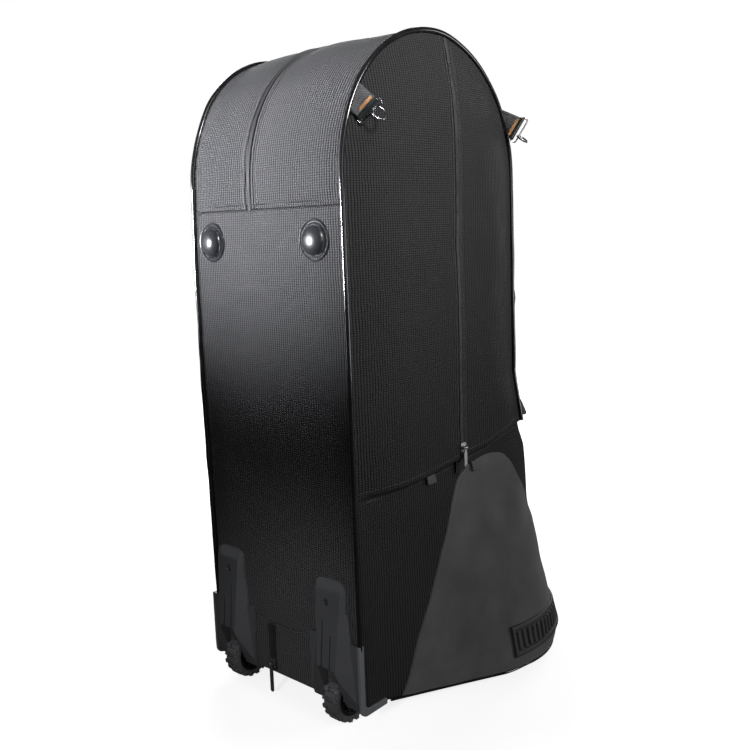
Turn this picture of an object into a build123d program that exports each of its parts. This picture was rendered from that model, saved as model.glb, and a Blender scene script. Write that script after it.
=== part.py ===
"""A padded bag on two wheels for a large brass instrument. It stands on its bell end.

Millimetres. +Z is up, -Y is the wheel side and +Y is the side that the bell flares to.
The origin is the middle of the footprint, on the floor.
"""
import os
from math import atan2, cos, radians, sin, sqrt

from build123d import *

os.makedirs("parts", exist_ok=True)

# Body of the bag
HEIGHT = 1000.0
WIDTH = 332.0
DEPTH = 380.0
WALL = 18.0
ARCH_RISE = 208.0
SEAM_BACK = 757.0
SEAM_FRONT = 400.0
BOOT_TOP = 350.0
PANEL_CROWN = 18.0
CROWN_INSET = 58.0
SPLIT_GAP = 0.4

# Bell end
BELL_REACH = 569.0
BELL_RADIUS = 242.0
BOOT_STRAIGHT = 50.0
BOOT_PIVOT = 254.0
TOP_FLARE = 0.15
CORNER_POWER = 8
BASE_LIFT = 36.0
BASE_RUN = 480.0
BOARD = 8.0

# Wheels and their housings
WHEEL_X = 116.0
WHEEL_IN = 18.0
WHEEL_RADIUS = 38.0
WHEEL_WIDTH = 30.0
RIM_RADIUS = 27.0
TREAD_ROOT = 33.5
TREAD_BLOCKS = 16
AXLE_RADIUS = 3.0
AXLE_CLEARANCE = 0.08
TONGUE_PROUD = 22.0
TONGUE_TOP_PROUD = 12.0
FLANGE = 6.0
SLOT_WIDTH = 36.0
SLOT_TOP = 95.0
SLOT_DEEP = 59.0
WELL_WALL = 3.0
HOUSING_TOP = 226.0
SCREW_Z = 193.0
SCREW_X = 113.0

# Zips
MAIN_ZIP_X = -28.0
TAPE = 1.2
TAPE_WIDTH = 12.0
POCKET_ZIP_IN = 220.0
POCKET_ZIP_WIDTH = 10.0
KICK_ZIP_X = -26.0
KICK_SEAM_SIDE = 136.0
KICK_SEAM_MID = 120.0

# Derived places
BACK = -(BELL_REACH - TONGUE_PROUD) / 2
MID = BACK + DEPTH / 2
FRONT = BACK + DEPTH
ARCH_Z = HEIGHT - ARCH_RISE
SIDE = WIDTH / 2
BELL_CENTRE = BELL_REACH - BELL_RADIUS
BACK_PLANE = Plane.XZ.offset(-BACK)


def save(builder, name):
    """Label a finished piece and write it to its own file."""
    builder.part.label = name
    export_step(builder.part, f"parts/{name}.step")


def save_pair(builder, name):
    """Write a piece of the +X side and its mirror image."""
    save(builder, f"{name}_right")
    image = mirror(builder.part, about=Plane.YZ)
    with BuildPart() as other:
        add(image)
    save(other, f"{name}_left")


def cut_piece(whole, inside=(), outside=()):
    """What is left of a solid inside some spaces and outside others."""
    with BuildPart() as piece:
        add(whole)
        for space in inside:
            add(space, mode=Mode.INTERSECT)
        for space in outside:
            add(space, mode=Mode.SUBTRACT)
    return piece


def slab(x, y, z):
    """A block between two limits along each axis."""
    block = Box(x[1] - x[0], y[1] - y[0], z[1] - z[0], mode=Mode.PRIVATE)
    return Pos((x[0] + x[1]) / 2, (y[0] + y[1]) / 2, (z[0] + z[1]) / 2) * block


def rod(place, radius, length):
    """A round bar centred on a place, along that place's own Z axis."""
    return place * Cylinder(radius, length, mode=Mode.PRIVATE)


def arch_outline(inset, low, x):
    """The side outline of the bag: straight back and front under a half-ellipse arch."""
    half = DEPTH / 2 - inset
    with BuildSketch(Plane.YZ.offset(x)) as outline:
        with BuildLine():
            EllipticalCenterArc((MID, ARCH_Z), half, ARCH_RISE - inset, start_angle=0, arc_size=180)
            Polyline((MID - half, ARCH_Z), (MID - half, low), (MID + half, low), (MID + half, ARCH_Z))
        make_face()
    return outline.sketch


def arch_solid(inset, low, x_from, x_to):
    """The side outline drawn out along X."""
    return extrude(arch_outline(inset, low, x_from), amount=x_to - x_from)


def arch_band(outer, inner, low, x_from, x_to):
    """A band that follows the outline, between two insets, open at the bottom."""
    return arch_solid(outer, low, x_from, x_to) - arch_solid(inner, low - 1, x_from - 1, x_to + 1)


def above_seams(gap):
    """The space above the back seam and the front seam, which lie at different heights."""
    back = slab((-SIDE - 50, SIDE + 50), (BACK - 50, MID), (SEAM_BACK + gap, HEIGHT + 50))
    front = slab((-SIDE - 50, SIDE + 50), (MID, FRONT + 50), (SEAM_FRONT + gap, HEIGHT + 50))
    return back + front


def diagonal_space(x_from, x_to, gap, upper):
    """The space on one side of the fold line, which runs from the back seam to the front seam."""
    far = HEIGHT + 200 if upper else BOOT_TOP - 200
    slope = (SEAM_FRONT - SEAM_BACK) / DEPTH
    lead = 60
    with BuildPart() as space:
        with BuildSketch(Plane.YZ.offset(x_from)):
            with BuildLine():
                Polyline(
                    (BACK - lead, SEAM_BACK - slope * lead + gap),
                    (FRONT + lead, SEAM_FRONT + slope * lead + gap),
                    (FRONT + lead, far),
                    (BACK - lead, far),
                    close=True,
                )
            make_face()
        extrude(amount=x_to - x_from)
    return space.part


def bell_polar(angle):
    """Distance from the boot's pivot to the bell's rim circle."""
    offset = BELL_CENTRE - BOOT_PIVOT
    return offset * sin(angle) + sqrt(BELL_RADIUS**2 - (offset * cos(angle)) ** 2)


def box_polar(angle):
    """Distance from the boot's pivot to the rounded box of the upper bag."""
    across = abs(cos(angle)) / SIDE
    along = abs(sin(angle)) / (DEPTH - BOOT_PIVOT)
    return (across**CORNER_POWER + along**CORNER_POWER) ** (-1 / CORNER_POWER)


def boot_section(level, inset):
    """Outline of the boot at one height: a box at the back that blends into the bell's circle."""
    flare = TOP_FLARE + (1 - TOP_FLARE) * (1 - level / BOOT_TOP)
    half = SIDE - inset
    back = BACK + max(inset, 0)
    pivot = BACK + BOOT_PIVOT
    turns = [radians(180 * step / 24) for step in range(25)]
    reach = [(1 - flare) * box_polar(a) + flare * bell_polar(a) - inset for a in turns]
    rim = [(r * cos(a), pivot + r * sin(a)) for r, a in zip(reach, turns)]
    with BuildSketch(Plane.XY.offset(level)) as section:
        with BuildLine():
            Line((-half, back), (half, back))
            Line((half, back), (half, BACK + BOOT_STRAIGHT))
            Line((half, BACK + BOOT_STRAIGHT), rim[0])
            Spline(*rim)
            Line(rim[-1], (-half, BACK + BOOT_STRAIGHT))
            Line((-half, BACK + BOOT_STRAIGHT), (-half, back))
        make_face()
    return section.sketch


def boot_solid(inset):
    """The boot as a solid, drawn past the floor so that the base can cut it."""
    return loft([boot_section(BOOT_TOP, inset), boot_section(-12, inset)], ruled=True)


def base_space(lift, upper):
    """The space above or below the base, which slopes up to the wheels and is flat at the bell."""
    far = HEIGHT if upper else -200
    with BuildPart() as space:
        with BuildSketch(Plane.YZ.offset(-400)):
            with BuildLine():
                Polyline(
                    (BACK - 60, BASE_LIFT * (1 + 60 / BASE_RUN) + lift),
                    (BACK + BASE_RUN, lift),
                    (BACK + 700, lift),
                    (BACK + 700, far),
                    (BACK - 60, far),
                    close=True,
                )
            make_face()
        extrude(amount=800)
    return space.part


def cone_space(x_from, x_to):
    """The bell-shaped patch in side view, drawn out along X."""
    with BuildPart() as space:
        with BuildSketch(Plane.YZ.offset(x_from)):
            with BuildLine():
                Spline(
                    (BACK + 40, -20),
                    (BACK + 62, 34),
                    (BACK + 108, 120),
                    (BACK + 160, 210),
                    (BACK + 196, 300),
                    (BACK + 232, BOOT_TOP + 5),
                )
                Line((BACK + 232, BOOT_TOP + 5), (BACK + 350, BOOT_TOP + 5))
                Spline(
                    (BACK + 350, BOOT_TOP + 5),
                    (BACK + 400, 286),
                    (BACK + 452, 190),
                    (BACK + 505, 90),
                    (BACK + 545, -20),
                )
                Line((BACK + 545, -20), (BACK + 40, -20))
            make_face()
        extrude(amount=x_to - x_from)
    return space.part


def wheel_bay(x_margin, y_reach, z_top):
    """The space around one wheel that panels and boards leave open, on the +X side."""
    half = SLOT_WIDTH / 2 + x_margin
    return slab((WHEEL_X - half, WHEEL_X + half), (BACK - 60, BACK + y_reach), (-20, z_top))


def both_bays():
    """The wheel bays of both sides, with room for the well's walls and the axle's heads."""
    bay = wheel_bay(8, SLOT_DEEP + 5, SLOT_TOP + 5)
    return bay + mirror(bay, about=Plane.YZ)


# ---------------------------------------------------------------- padded walls


def kick_outline(top):
    """The lower back panel in back view, under its curved seam, or what lies above it."""
    high = BASE_LIFT - 60 if not top else SEAM_BACK
    with BuildSketch(BACK_PLANE) as outline:
        with BuildLine():
            ThreePointArc((-SIDE, KICK_SEAM_SIDE), (0, KICK_SEAM_MID), (SIDE, KICK_SEAM_SIDE))
            Polyline((SIDE, KICK_SEAM_SIDE), (SIDE, high), (-SIDE, high), (-SIDE, KICK_SEAM_SIDE))
        make_face()
    return outline.sketch


def screw_ways(radius):
    """Ways through the back for the housings' screws."""
    way = rod(Pos(SCREW_X, BACK, SCREW_Z) * Rot(90, 0, 0), radius, 120)
    return way + mirror(way, about=Plane.YZ)


back_panel = cut_piece(extrude(kick_outline(True), amount=-WALL), outside=[screw_ways(2.3)])
save(back_panel, "back_panel")

kick_panel = cut_piece(
    extrude(kick_outline(False), amount=-WALL), outside=[both_bays(), base_space(0, False)]
)
save(kick_panel, "kick_panel")

front_panel = cut_piece(slab((-SIDE, SIDE), (FRONT - WALL, FRONT), (BOOT_TOP, SEAM_FRONT)))
save(front_panel, "front_panel")

upper_gusset_right = cut_piece(
    arch_band(0, WALL, BOOT_TOP, MAIN_ZIP_X + SPLIT_GAP, SIDE), inside=[above_seams(0)]
)
save(upper_gusset_right, "upper_gusset_right")

upper_gusset_left = cut_piece(
    arch_band(0, WALL, BOOT_TOP, -SIDE, MAIN_ZIP_X - SPLIT_GAP), inside=[above_seams(SPLIT_GAP)]
)
save(upper_gusset_left, "upper_gusset_left")

save(cut_piece(arch_solid(WALL, BOOT_TOP, SIDE - WALL, SIDE)), "side_panel_right")


def crown(x_from, x_to):
    """The padded crown that stands out of a side panel."""
    return loft([arch_outline(6, BOOT_TOP, x_from), arch_outline(CROWN_INSET, BOOT_TOP, x_to)], ruled=True)


PAD = crown(SIDE, SIDE + PANEL_CROWN)
ZIP_Y = (BACK + POCKET_ZIP_IN - POCKET_ZIP_WIDTH / 2, BACK + POCKET_ZIP_IN + POCKET_ZIP_WIDTH / 2)
X_ALL = (0, SIDE + 60)
Z_ALL = (BOOT_TOP - 50, HEIGHT + 50)

save(cut_piece(PAD, inside=[slab(X_ALL, (BACK - 60, ZIP_Y[0]), Z_ALL)]), "pocket_rear")
save(cut_piece(PAD, inside=[slab(X_ALL, (ZIP_Y[1], FRONT + 60), Z_ALL)]), "pocket_front")
save(cut_piece(PAD, inside=[slab(X_ALL, ZIP_Y, Z_ALL)]), "pocket_zip_tape")

LEFT_PANEL = arch_solid(WALL, BOOT_TOP, -SIDE, WALL - SIDE) + crown(-SIDE, -SIDE - PANEL_CROWN)
BELOW_FOLD = diagonal_space(-SIDE - 60, 0, 0, False)
ABOVE_FOLD = diagonal_space(-SIDE - 60, 0, 2 * SPLIT_GAP, True)
save(cut_piece(LEFT_PANEL, inside=[BELOW_FOLD]), "side_panel_left_lower")
save(cut_piece(LEFT_PANEL, inside=[ABOVE_FOLD]), "side_panel_left_flap")

# ---------------------------------------------------------------- piping

PIPING = 2.5


def piping_run(x):
    """A bead that stands proud of the edge between a gusset and a side panel."""
    return arch_band(-PIPING, 0, BOOT_TOP - 210, x - PIPING, x + PIPING)


def piping_ends(low_front):
    """What is left of a bead above its front end."""
    back = slab((-SIDE - 50, SIDE + 50), (BACK - 50, MID), (0, HEIGHT + 50))
    front = slab((-SIDE - 50, SIDE + 50), (MID, FRONT + 50), (low_front, HEIGHT + 50))
    return back + front


save(cut_piece(piping_run(SIDE), inside=[piping_ends(SEAM_FRONT)]), "piping_right")
save(cut_piece(piping_run(-SIDE), inside=[above_seams(SPLIT_GAP)]), "piping_left_flap")
BELOW_SEAM = slab((-SIDE - 50, 0), (BACK - 50, MID), (0, SEAM_BACK))
save(cut_piece(piping_run(-SIDE), inside=[BELOW_SEAM]), "piping_left_lower")

# ---------------------------------------------------------------- boot around the bell

SHELL = (boot_solid(0) - boot_solid(WALL)) & base_space(0, True)
SHELL = SHELL - slab((-SIDE - 5, SIDE + 5), (BACK - 5, BACK + WALL), (-20, BOOT_TOP + 20))
PATCH = cone_space(40, 400)
REST = SHELL - PATCH - mirror(PATCH, about=Plane.YZ)
REAR_HALF = slab((0, 400), (BACK, BACK + 290), (-20, 400))
FRONT_HALF = slab((-400, 400), (BACK + 290, BACK + 700), (-20, 400))
save_pair(cut_piece(SHELL, inside=[PATCH]), "cone_panel")
save_pair(cut_piece(REST, inside=[REAR_HALF]), "boot_side")
save(cut_piece(REST, inside=[FRONT_HALF]), "boot_front")

BOARD_SPACE = base_space(0, True) & base_space(BOARD, False)
save(cut_piece(boot_solid(WALL), inside=[BOARD_SPACE], outside=[both_bays()]), "base_board")

# ---------------------------------------------------------------- scuff guards on the bell's rim

GUARD_LOW = 34.0
GUARD_TOP = 84.0
GUARD_PROUD = 4.0
GUARD_START = -11.0
GUARD_SWEEP = 76.0
GUARD_RIBS = 22
GUARD_BORDER = 9.0


def guard_band(outer, inner):
    """A band on the boot's outside, between two distances from it."""
    return boot_solid(-outer) - boot_solid(-inner)


def guard_sector(start, sweep, low, high):
    """A sector about the bell's axis, between two heights, on the +X side."""
    reach = 2 * BELL_RADIUS
    with BuildPart() as sector:
        with BuildSketch(Plane.XY.offset(low)):
            with BuildLine():
                Polyline(
                    (0, BACK + BELL_CENTRE),
                    polar_point(start, reach),
                    polar_point(start + sweep / 2, reach),
                    polar_point(start + sweep, reach),
                    close=True,
                )
            make_face()
        extrude(amount=high - low)
    return sector.part


def polar_point(angle, reach):
    """A point about the bell's axis, with the angle in degrees from +X."""
    turn = radians(angle)
    return (reach * cos(turn), BACK + BELL_CENTRE + reach * sin(turn))


def guard_grooves():
    """The grooves between the ribs of a guard."""
    pitch = (GUARD_SWEEP - 4) / GUARD_RIBS
    starts = [GUARD_START + 2 + pitch * (rib + 0.25) for rib in range(GUARD_RIBS)]
    low, high = GUARD_LOW + GUARD_BORDER, GUARD_TOP - GUARD_BORDER
    return [GROOVE_BAND & guard_sector(start, pitch / 2, low, high) for start in starts]


GROOVE_BAND = guard_band(GUARD_PROUD + 2, GUARD_PROUD - 2)
GUARD_SPACE = guard_sector(GUARD_START, GUARD_SWEEP, GUARD_LOW, GUARD_TOP)
save_pair(cut_piece(guard_band(GUARD_PROUD, 0), [GUARD_SPACE], guard_grooves()), "scuff_guard")

# ---------------------------------------------------------------- inside the bag

STIFFENER = slab((-120, 120), (BACK + WALL, BACK + WALL + 2.5), (150, SEAM_BACK - 40))
save(cut_piece(STIFFENER, outside=[screw_ways(2.3)]), "back_stiffener")

PAD_RING = 30.0
PAD_TOP = 45.0
PAD_GAP = 26.0


def bell_ring():
    """A foam ring under the bell's rim."""
    outer = BELL_RADIUS - WALL - PAD_GAP
    place = Pos(0, BACK + BELL_CENTRE - 4, PAD_TOP / 2)
    return rod(place, outer, PAD_TOP) - rod(place, outer - PAD_RING, PAD_TOP + 2)


save(cut_piece(bell_ring(), [base_space(BOARD, True)], [both_bays()]), "bell_ring_pad")

STRAP_SPAN = slab((SIDE - WALL - 3, SIDE - WALL), (BACK + 60, BACK + 320), (560, 600))
save(cut_piece(STRAP_SPAN), "interior_strap")

# ---------------------------------------------------------------- round feet on the back

FOOT_X = 115.0
FOOT_Z = 711.0
FOOT_RADIUS = 30.0
FOOT_RIM = 3.5
DOME_RADIUS = 23.0
DOME_RISE = 11.0

with BuildPart() as foot_rims:
    with BuildSketch(BACK_PLANE):
        with Locations((-FOOT_X, FOOT_Z), (FOOT_X, FOOT_Z)):
            Circle(FOOT_RADIUS)
            Circle(DOME_RADIUS, mode=Mode.SUBTRACT)
    extrude(amount=FOOT_RIM)
    chamfer(foot_rims.edges().filter_by(GeomType.CIRCLE).group_by(Axis.Y)[0], 1.0)
save(foot_rims, "foot_rims")

DOME_SPHERE = (DOME_RADIUS**2 + DOME_RISE**2) / (2 * DOME_RISE)


def dome():
    """A shallow cap on a short plug, turned about its own axis."""
    with BuildPart() as cap:
        with BuildSketch(Plane.XZ) as half:
            with BuildLine():
                top = FOOT_RIM - 1 + DOME_RISE
                Line((0, 0), (DOME_RADIUS, 0))
                Line((DOME_RADIUS, 0), (DOME_RADIUS, FOOT_RIM - 1))
                RadiusArc((DOME_RADIUS, FOOT_RIM - 1), (0, top), -DOME_SPHERE)
                Line((0, top), (0, 0))
            make_face()
        revolve(axis=Axis.Z)
    return cap.part


DOME = dome()
with BuildPart() as foot_domes:
    for side in (-1, 1):
        add(Plane(origin=(side * FOOT_X, BACK, FOOT_Z), x_dir=(1, 0, 0), z_dir=(0, -1, 0)) * DOME)
save(foot_domes, "foot_domes")

with BuildPart() as foot_backing_discs:
    with BuildSketch(BACK_PLANE.offset(-WALL)):
        with Locations((-FOOT_X, FOOT_Z + 25), (FOOT_X, FOOT_Z + 25)):
            Circle(18)
    extrude(amount=-2)
save(foot_backing_discs, "foot_backing_discs")

# ---------------------------------------------------------------- wheel housings

HOUSING_LOW = 33.0
FLANGE_TOP = 136.0
FLANGE_IN = 67.0
FACE_FOOT = 90.0
FACE_TOP = 209.0
TONGUE_EDGE = 5.0
# Height, half width of the face, how proud it is, and half width at the back panel
TONGUE_LEVELS = (
    (HOUSING_LOW, 15.0, TONGUE_PROUD, 50.0),
    (FACE_FOOT, 18.4, TONGUE_PROUD, 43.0),
    (FLANGE_TOP, 21.5, 18.1, 36.0),
    (FACE_TOP, 25.5, TONGUE_TOP_PROUD, 30.0),
    (HOUSING_TOP, 27.0, TONGUE_EDGE + 0.5, 29.5),
)


def tongue_section(z, half, proud, base):
    """A level cut through the tongue: a thin edge on the panel, two flanks and the face."""
    edge = TONGUE_EDGE - 0.3
    with BuildSketch(Plane.XY.offset(z)) as section:
        with BuildLine():
            Polyline(
                (WHEEL_X - base, BACK),
                (WHEEL_X + base, BACK),
                (WHEEL_X + base, BACK - edge),
                (WHEEL_X + half, BACK - proud),
                (WHEEL_X - half, BACK - proud),
                (WHEEL_X - base, BACK - edge),
                close=True,
            )
        make_face()
    return section.sketch


def tongue_limits():
    """The tongue's outline in back view, with its two upper corners rounded."""
    with BuildSketch(BACK_PLANE.offset(-1)) as limits:
        with Locations((WHEEL_X, 100)):
            Rectangle(120, 160)
        with Locations((WHEEL_X, HOUSING_TOP - 50)):
            top = Rectangle(60, 100)
        fillet(top.vertices().group_by(Axis.Z)[-1], 15)
    return extrude(limits.sketch, amount=60)


def wheel_clearance():
    """The slanting space that bares the wheel below the face."""
    with BuildSketch(Plane.YZ.offset(0)) as side:
        with BuildLine():
            Polyline(
                (BACK, HOUSING_LOW - 1),
                (BACK - TONGUE_PROUD - 2, FACE_FOOT + 5),
                (BACK - 60, FACE_FOOT + 5),
                (BACK - 60, 0),
                (BACK, 0),
                close=True,
            )
        make_face()
    return extrude(side.sketch, amount=SIDE + 10)


def face_groove(x, top):
    """A shallow channel down the face that widens towards the wheel."""
    lean = atan2(TONGUE_PROUD - TONGUE_TOP_PROUD, FACE_TOP - FACE_FOOT)
    normal = (0, -cos(lean), sin(lean))
    face = Plane(origin=(x, BACK - TONGUE_PROUD, FACE_FOOT), x_dir=(1, 0, 0), z_dir=normal)
    with BuildSketch(face.offset(2)) as channel:
        with BuildLine():
            Polyline((-2.8, -12), (2.8, -12), (0.9, top), (-0.9, top), close=True)
        make_face()
    return extrude(channel.sketch, amount=-4.6)


AXLE_PLACE = Plane(
    origin=(WHEEL_X, BACK + WHEEL_IN, WHEEL_RADIUS), x_dir=(0, 1, 0), z_dir=(1, 0, 0)
)
WELL = wheel_bay(WELL_WALL, SLOT_DEEP + WELL_WALL, SLOT_TOP + WELL_WALL)
HEAD_SEAT = BACK - 10.0
FLANGE_PLATE = slab((FLANGE_IN, SIDE), (BACK - FLANGE, BACK), (HOUSING_LOW, FLANGE_TOP))
HOUSING_CUTS = [
    wheel_clearance(),
    wheel_bay(0, SLOT_DEEP, SLOT_TOP),
    face_groove(WHEEL_X - 9.5, 76),
    face_groove(WHEEL_X + 7.5, 56),
    rod(AXLE_PLACE, AXLE_RADIUS + 0.02, 60),
    screw_ways(2.1),
    slab((0, SIDE), (HEAD_SEAT - 20, HEAD_SEAT), (0, 300)) & screw_ways(5.2),
]

TONGUE_SECTIONS = [tongue_section(*level) for level in TONGUE_LEVELS]
TONGUE_LIMITS = tongue_limits()

with BuildPart() as wheel_housing:
    loft(TONGUE_SECTIONS, ruled=True)
    add(TONGUE_LIMITS, mode=Mode.INTERSECT)
    add(FLANGE_PLATE)
    corners = wheel_housing.edges().filter_by(Axis.Y)
    fillet(corners.sort_by_distance((FLANGE_IN, BACK, FLANGE_TOP))[0], 4)
    add(WELL & slab((0, SIDE), (BACK, BACK + 100), (HOUSING_LOW, 200)))
    for solid in HOUSING_CUTS:
        add(solid, mode=Mode.SUBTRACT)
save_pair(wheel_housing, "wheel_housing")

RAIL = 5.0
RAIL_WIDTH = 10.0
RAIL_FOOT = 49.0
RAIL_LOW = 27.0

with BuildPart() as corner_rail:
    with BuildSketch(Plane.YZ.offset(SIDE)) as rail_side:
        with BuildLine():
            Polyline(
                (BACK - FLANGE, FLANGE_TOP),
                (BACK - FLANGE, RAIL_LOW),
                (BACK + RAIL_FOOT, RAIL_LOW + 4),
                (BACK + RAIL_FOOT, RAIL_LOW + 13),
                (BACK - FLANGE + RAIL_WIDTH, RAIL_LOW + 11),
                (BACK - FLANGE + RAIL_WIDTH, FLANGE_TOP),
                close=True,
            )
        make_face()
    extrude(amount=RAIL)
    for corner, radius in (
        ((BACK - FLANGE, RAIL_LOW), 12),
        ((BACK - FLANGE + RAIL_WIDTH, RAIL_LOW + 11), 9),
    ):
        edges = corner_rail.edges().filter_by(Axis.X)
        fillet(edges.sort_by_distance((SIDE + RAIL / 2, *corner))[0], radius)
save_pair(corner_rail, "corner_rail")

PLATE = slab((98, 134), (BACK + WALL + 2.5, BACK + WALL + 4.5), (172, 204))
PLATES = PLATE + mirror(PLATE, about=Plane.YZ)
save(cut_piece(PLATES, outside=[screw_ways(2.1)]), "housing_backing_plates")


def housing_screw(x):
    """A pan-head screw that pulls a housing to its backing plate."""
    reach = BACK - HEAD_SEAT + WALL + 5
    with BuildPart(Plane(origin=(x, HEAD_SEAT - 0.02, SCREW_Z), z_dir=(0, -1, 0))) as screw:
        Cylinder(3.9, 1.8, align=(Align.CENTER, Align.CENTER, Align.MIN))
        Cylinder(1.9, reach, align=(Align.CENTER, Align.CENTER, Align.MAX))
        with Locations((0, 0, 1.2)):
            Box(5, 1.1, 3, mode=Mode.SUBTRACT)
            Box(1.1, 5, 3, mode=Mode.SUBTRACT)
    return screw.part


save(cut_piece(housing_screw(SCREW_X) + housing_screw(-SCREW_X)), "housing_screws")

# ---------------------------------------------------------------- wheels

FORK = SLOT_WIDTH + 2 * WELL_WALL

with BuildPart(AXLE_PLACE) as wheel_axle:
    Cylinder(AXLE_RADIUS, FORK + 0.4)
    with Locations((0, 0, FORK / 2 + 1.1), (0, 0, -FORK / 2 - 1.1)):
        Cylinder(5.5, 2.0)
save_pair(wheel_axle, "wheel_axle")

with BuildPart(AXLE_PLACE) as wheel_hub:
    Cylinder(RIM_RADIUS, WHEEL_WIDTH - 4)
    with Locations((0, 0, WHEEL_WIDTH / 2 - 2), (0, 0, 2 - WHEEL_WIDTH / 2)):
        Cylinder(RIM_RADIUS - 5, 10, mode=Mode.SUBTRACT)
    Cylinder(9, WHEEL_WIDTH)
    Cylinder(AXLE_RADIUS + AXLE_CLEARANCE, WHEEL_WIDTH + 2, mode=Mode.SUBTRACT)
    with PolarLocations(15.5, 6):
        Cylinder(4, WHEEL_WIDTH, mode=Mode.SUBTRACT)
save_pair(wheel_hub, "wheel_hub")

SHOULDER_MIDDLE = 8.6
SHOULDER_WIDTH = 3.4
KNOB_WIDTH = WHEEL_WIDTH / 2 - SHOULDER_MIDDLE

with BuildPart(AXLE_PLACE) as wheel_tyre:
    Cylinder(TREAD_ROOT, WHEEL_WIDTH - 2)
    with PolarLocations(TREAD_ROOT, TREAD_BLOCKS):
        Box(9, 7.6, 2 * SHOULDER_MIDDLE)
    for side in (-1, 1):
        with Locations((0, 0, side * SHOULDER_MIDDLE)):
            Cylinder(WHEEL_RADIUS - 1.2, SHOULDER_WIDTH)
        with Locations((0, 0, side * (SHOULDER_MIDDLE + KNOB_WIDTH / 2))):
            with PolarLocations(TREAD_ROOT, TREAD_BLOCKS, start_angle=180 / TREAD_BLOCKS):
                Box(6, 6.4, KNOB_WIDTH)
    Cylinder(WHEEL_RADIUS, WHEEL_WIDTH, mode=Mode.INTERSECT)
    Cylinder(RIM_RADIUS, WHEEL_WIDTH + 2, mode=Mode.SUBTRACT)
save_pair(wheel_tyre, "wheel_tyre")

# ---------------------------------------------------------------- zips

ZIP_TAIL = 32.0

RIGHT_TAPE = arch_band(-TAPE, 0, BOOT_TOP, MAIN_ZIP_X + SPLIT_GAP, MAIN_ZIP_X + TAPE_WIDTH)
LEFT_TAPE = arch_band(-TAPE, 0, BOOT_TOP, MAIN_ZIP_X - TAPE_WIDTH, MAIN_ZIP_X - SPLIT_GAP)
TAPE_END = slab(
    (MAIN_ZIP_X - TAPE_WIDTH, MAIN_ZIP_X + TAPE_WIDTH),
    (FRONT, FRONT + TAPE),
    (SEAM_FRONT - ZIP_TAIL, SEAM_FRONT),
)
save(cut_piece((RIGHT_TAPE & above_seams(0)) + TAPE_END), "main_zip_tape_right")
save(cut_piece(LEFT_TAPE, inside=[above_seams(SPLIT_GAP)]), "main_zip_tape_left")

KICK_TAPE = slab((KICK_ZIP_X - 6, KICK_ZIP_X + 6), (BACK - TAPE, BACK), (44, 117))
save(cut_piece(KICK_TAPE), "kick_zip_tape")

SLIDER_SIZE = (12.0, 16.0, 3.0)
SLIDER_LIFT = 0.4
BAR_HIGH = 6.4
BAR_RADIUS = 0.9
EYE_RADIUS = 2.6
EYE_WIDTH = 4.6


def slider(place):
    """A zip slider: a rounded plate, two ears and the bar that the puller swings on."""
    with BuildPart(place) as body:
        with BuildSketch(place.offset(SLIDER_LIFT)):
            RectangleRounded(SLIDER_SIZE[0], SLIDER_SIZE[1], 3)
        extrude(amount=SLIDER_SIZE[2])
        with Locations((-3.6, 0, BAR_HIGH - 1), (3.6, 0, BAR_HIGH - 1)):
            Box(1.6, 4, 6)
        with Locations((0, 0, BAR_HIGH)):
            Cylinder(BAR_RADIUS, 7.2, rotation=(0, 90, 0))
    return body


def puller(place, length, width):
    """A puller that hangs from the slider's bar, with its eye round the bar."""
    with BuildPart(place) as tab:
        with Locations((0, 0, BAR_HIGH)):
            Cylinder(EYE_RADIUS, EYE_WIDTH, rotation=(0, 90, 0))
        with BuildSketch(place.offset(BAR_HIGH - 0.9)):
            with Locations((0, -4)):
                Rectangle(3.6, 8)
            with Locations((0, -(length + 6) / 2)):
                RectangleRounded(width, length - 6, width / 2 - 0.2)
        extrude(amount=1.8)
        with Locations((0, 0, BAR_HIGH)):
            Cylinder(BAR_RADIUS + 0.35, EYE_WIDTH + 2, rotation=(0, 90, 0), mode=Mode.SUBTRACT)
        with Locations((0, 2 - length, BAR_HIGH)):
            Cylinder(1.4, 6, mode=Mode.SUBTRACT)
    return tab


MAIN_SLIDER_Z = SEAM_FRONT - 13
POCKET_SLIDER_Z = 387.0
KICK_SLIDER_Z = 53.0
SLIDERS = {
    "main_zip": (Plane(origin=(MAIN_ZIP_X, FRONT + TAPE, MAIN_SLIDER_Z), x_dir=(-1, 0, 0),
                       z_dir=(0, 1, 0)), 34, 8),
    "pocket_zip": (Plane(origin=(SIDE + PANEL_CROWN, BACK + POCKET_ZIP_IN, POCKET_SLIDER_Z),
                         x_dir=(0, 1, 0), z_dir=(1, 0, 0)), 30, 7),
    "kick_zip": (Plane(origin=(KICK_ZIP_X, BACK - TAPE, KICK_SLIDER_Z), x_dir=(1, 0, 0),
                       z_dir=(0, -1, 0)), 46, 7),
}
for zip_name, (place, length, width) in SLIDERS.items():
    save(slider(place), f"{zip_name}_slider")
    save(puller(place, length, width), f"{zip_name}_puller")

# ---------------------------------------------------------------- strap tabs, frames and rings

TAB_Z = {False: 898.0, True: 884.0}
TAB_ROOT_HALF = 18.0
TAB_WIDTH = 38.0
TAB_REACH = 23.0
TAB_THICK = 2.6
ROOT_GAP = 3.0
SLEEVE_RADIUS = 3.9
WIRE = 1.3
SLEEVE_BORE = WIRE + 0.5
FRAME_DROP = 9.0
RING_RADIUS = 9.6
RING_HANG = 6.6
RING_ASIDE = {False: 7.0, True: -9.0}
RING_TURN = {False: 48.0, True: 20.0}


def arch_point(z, front):
    """A point just outside the side outline, on the arch at one height."""
    rise = (z - ARCH_Z) / ARCH_RISE
    run = sqrt(1 - rise**2)
    side = 1 if front else -1
    return Vector(SIDE + 4.2, MID + side * DEPTH / 2 * run, z)


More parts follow.
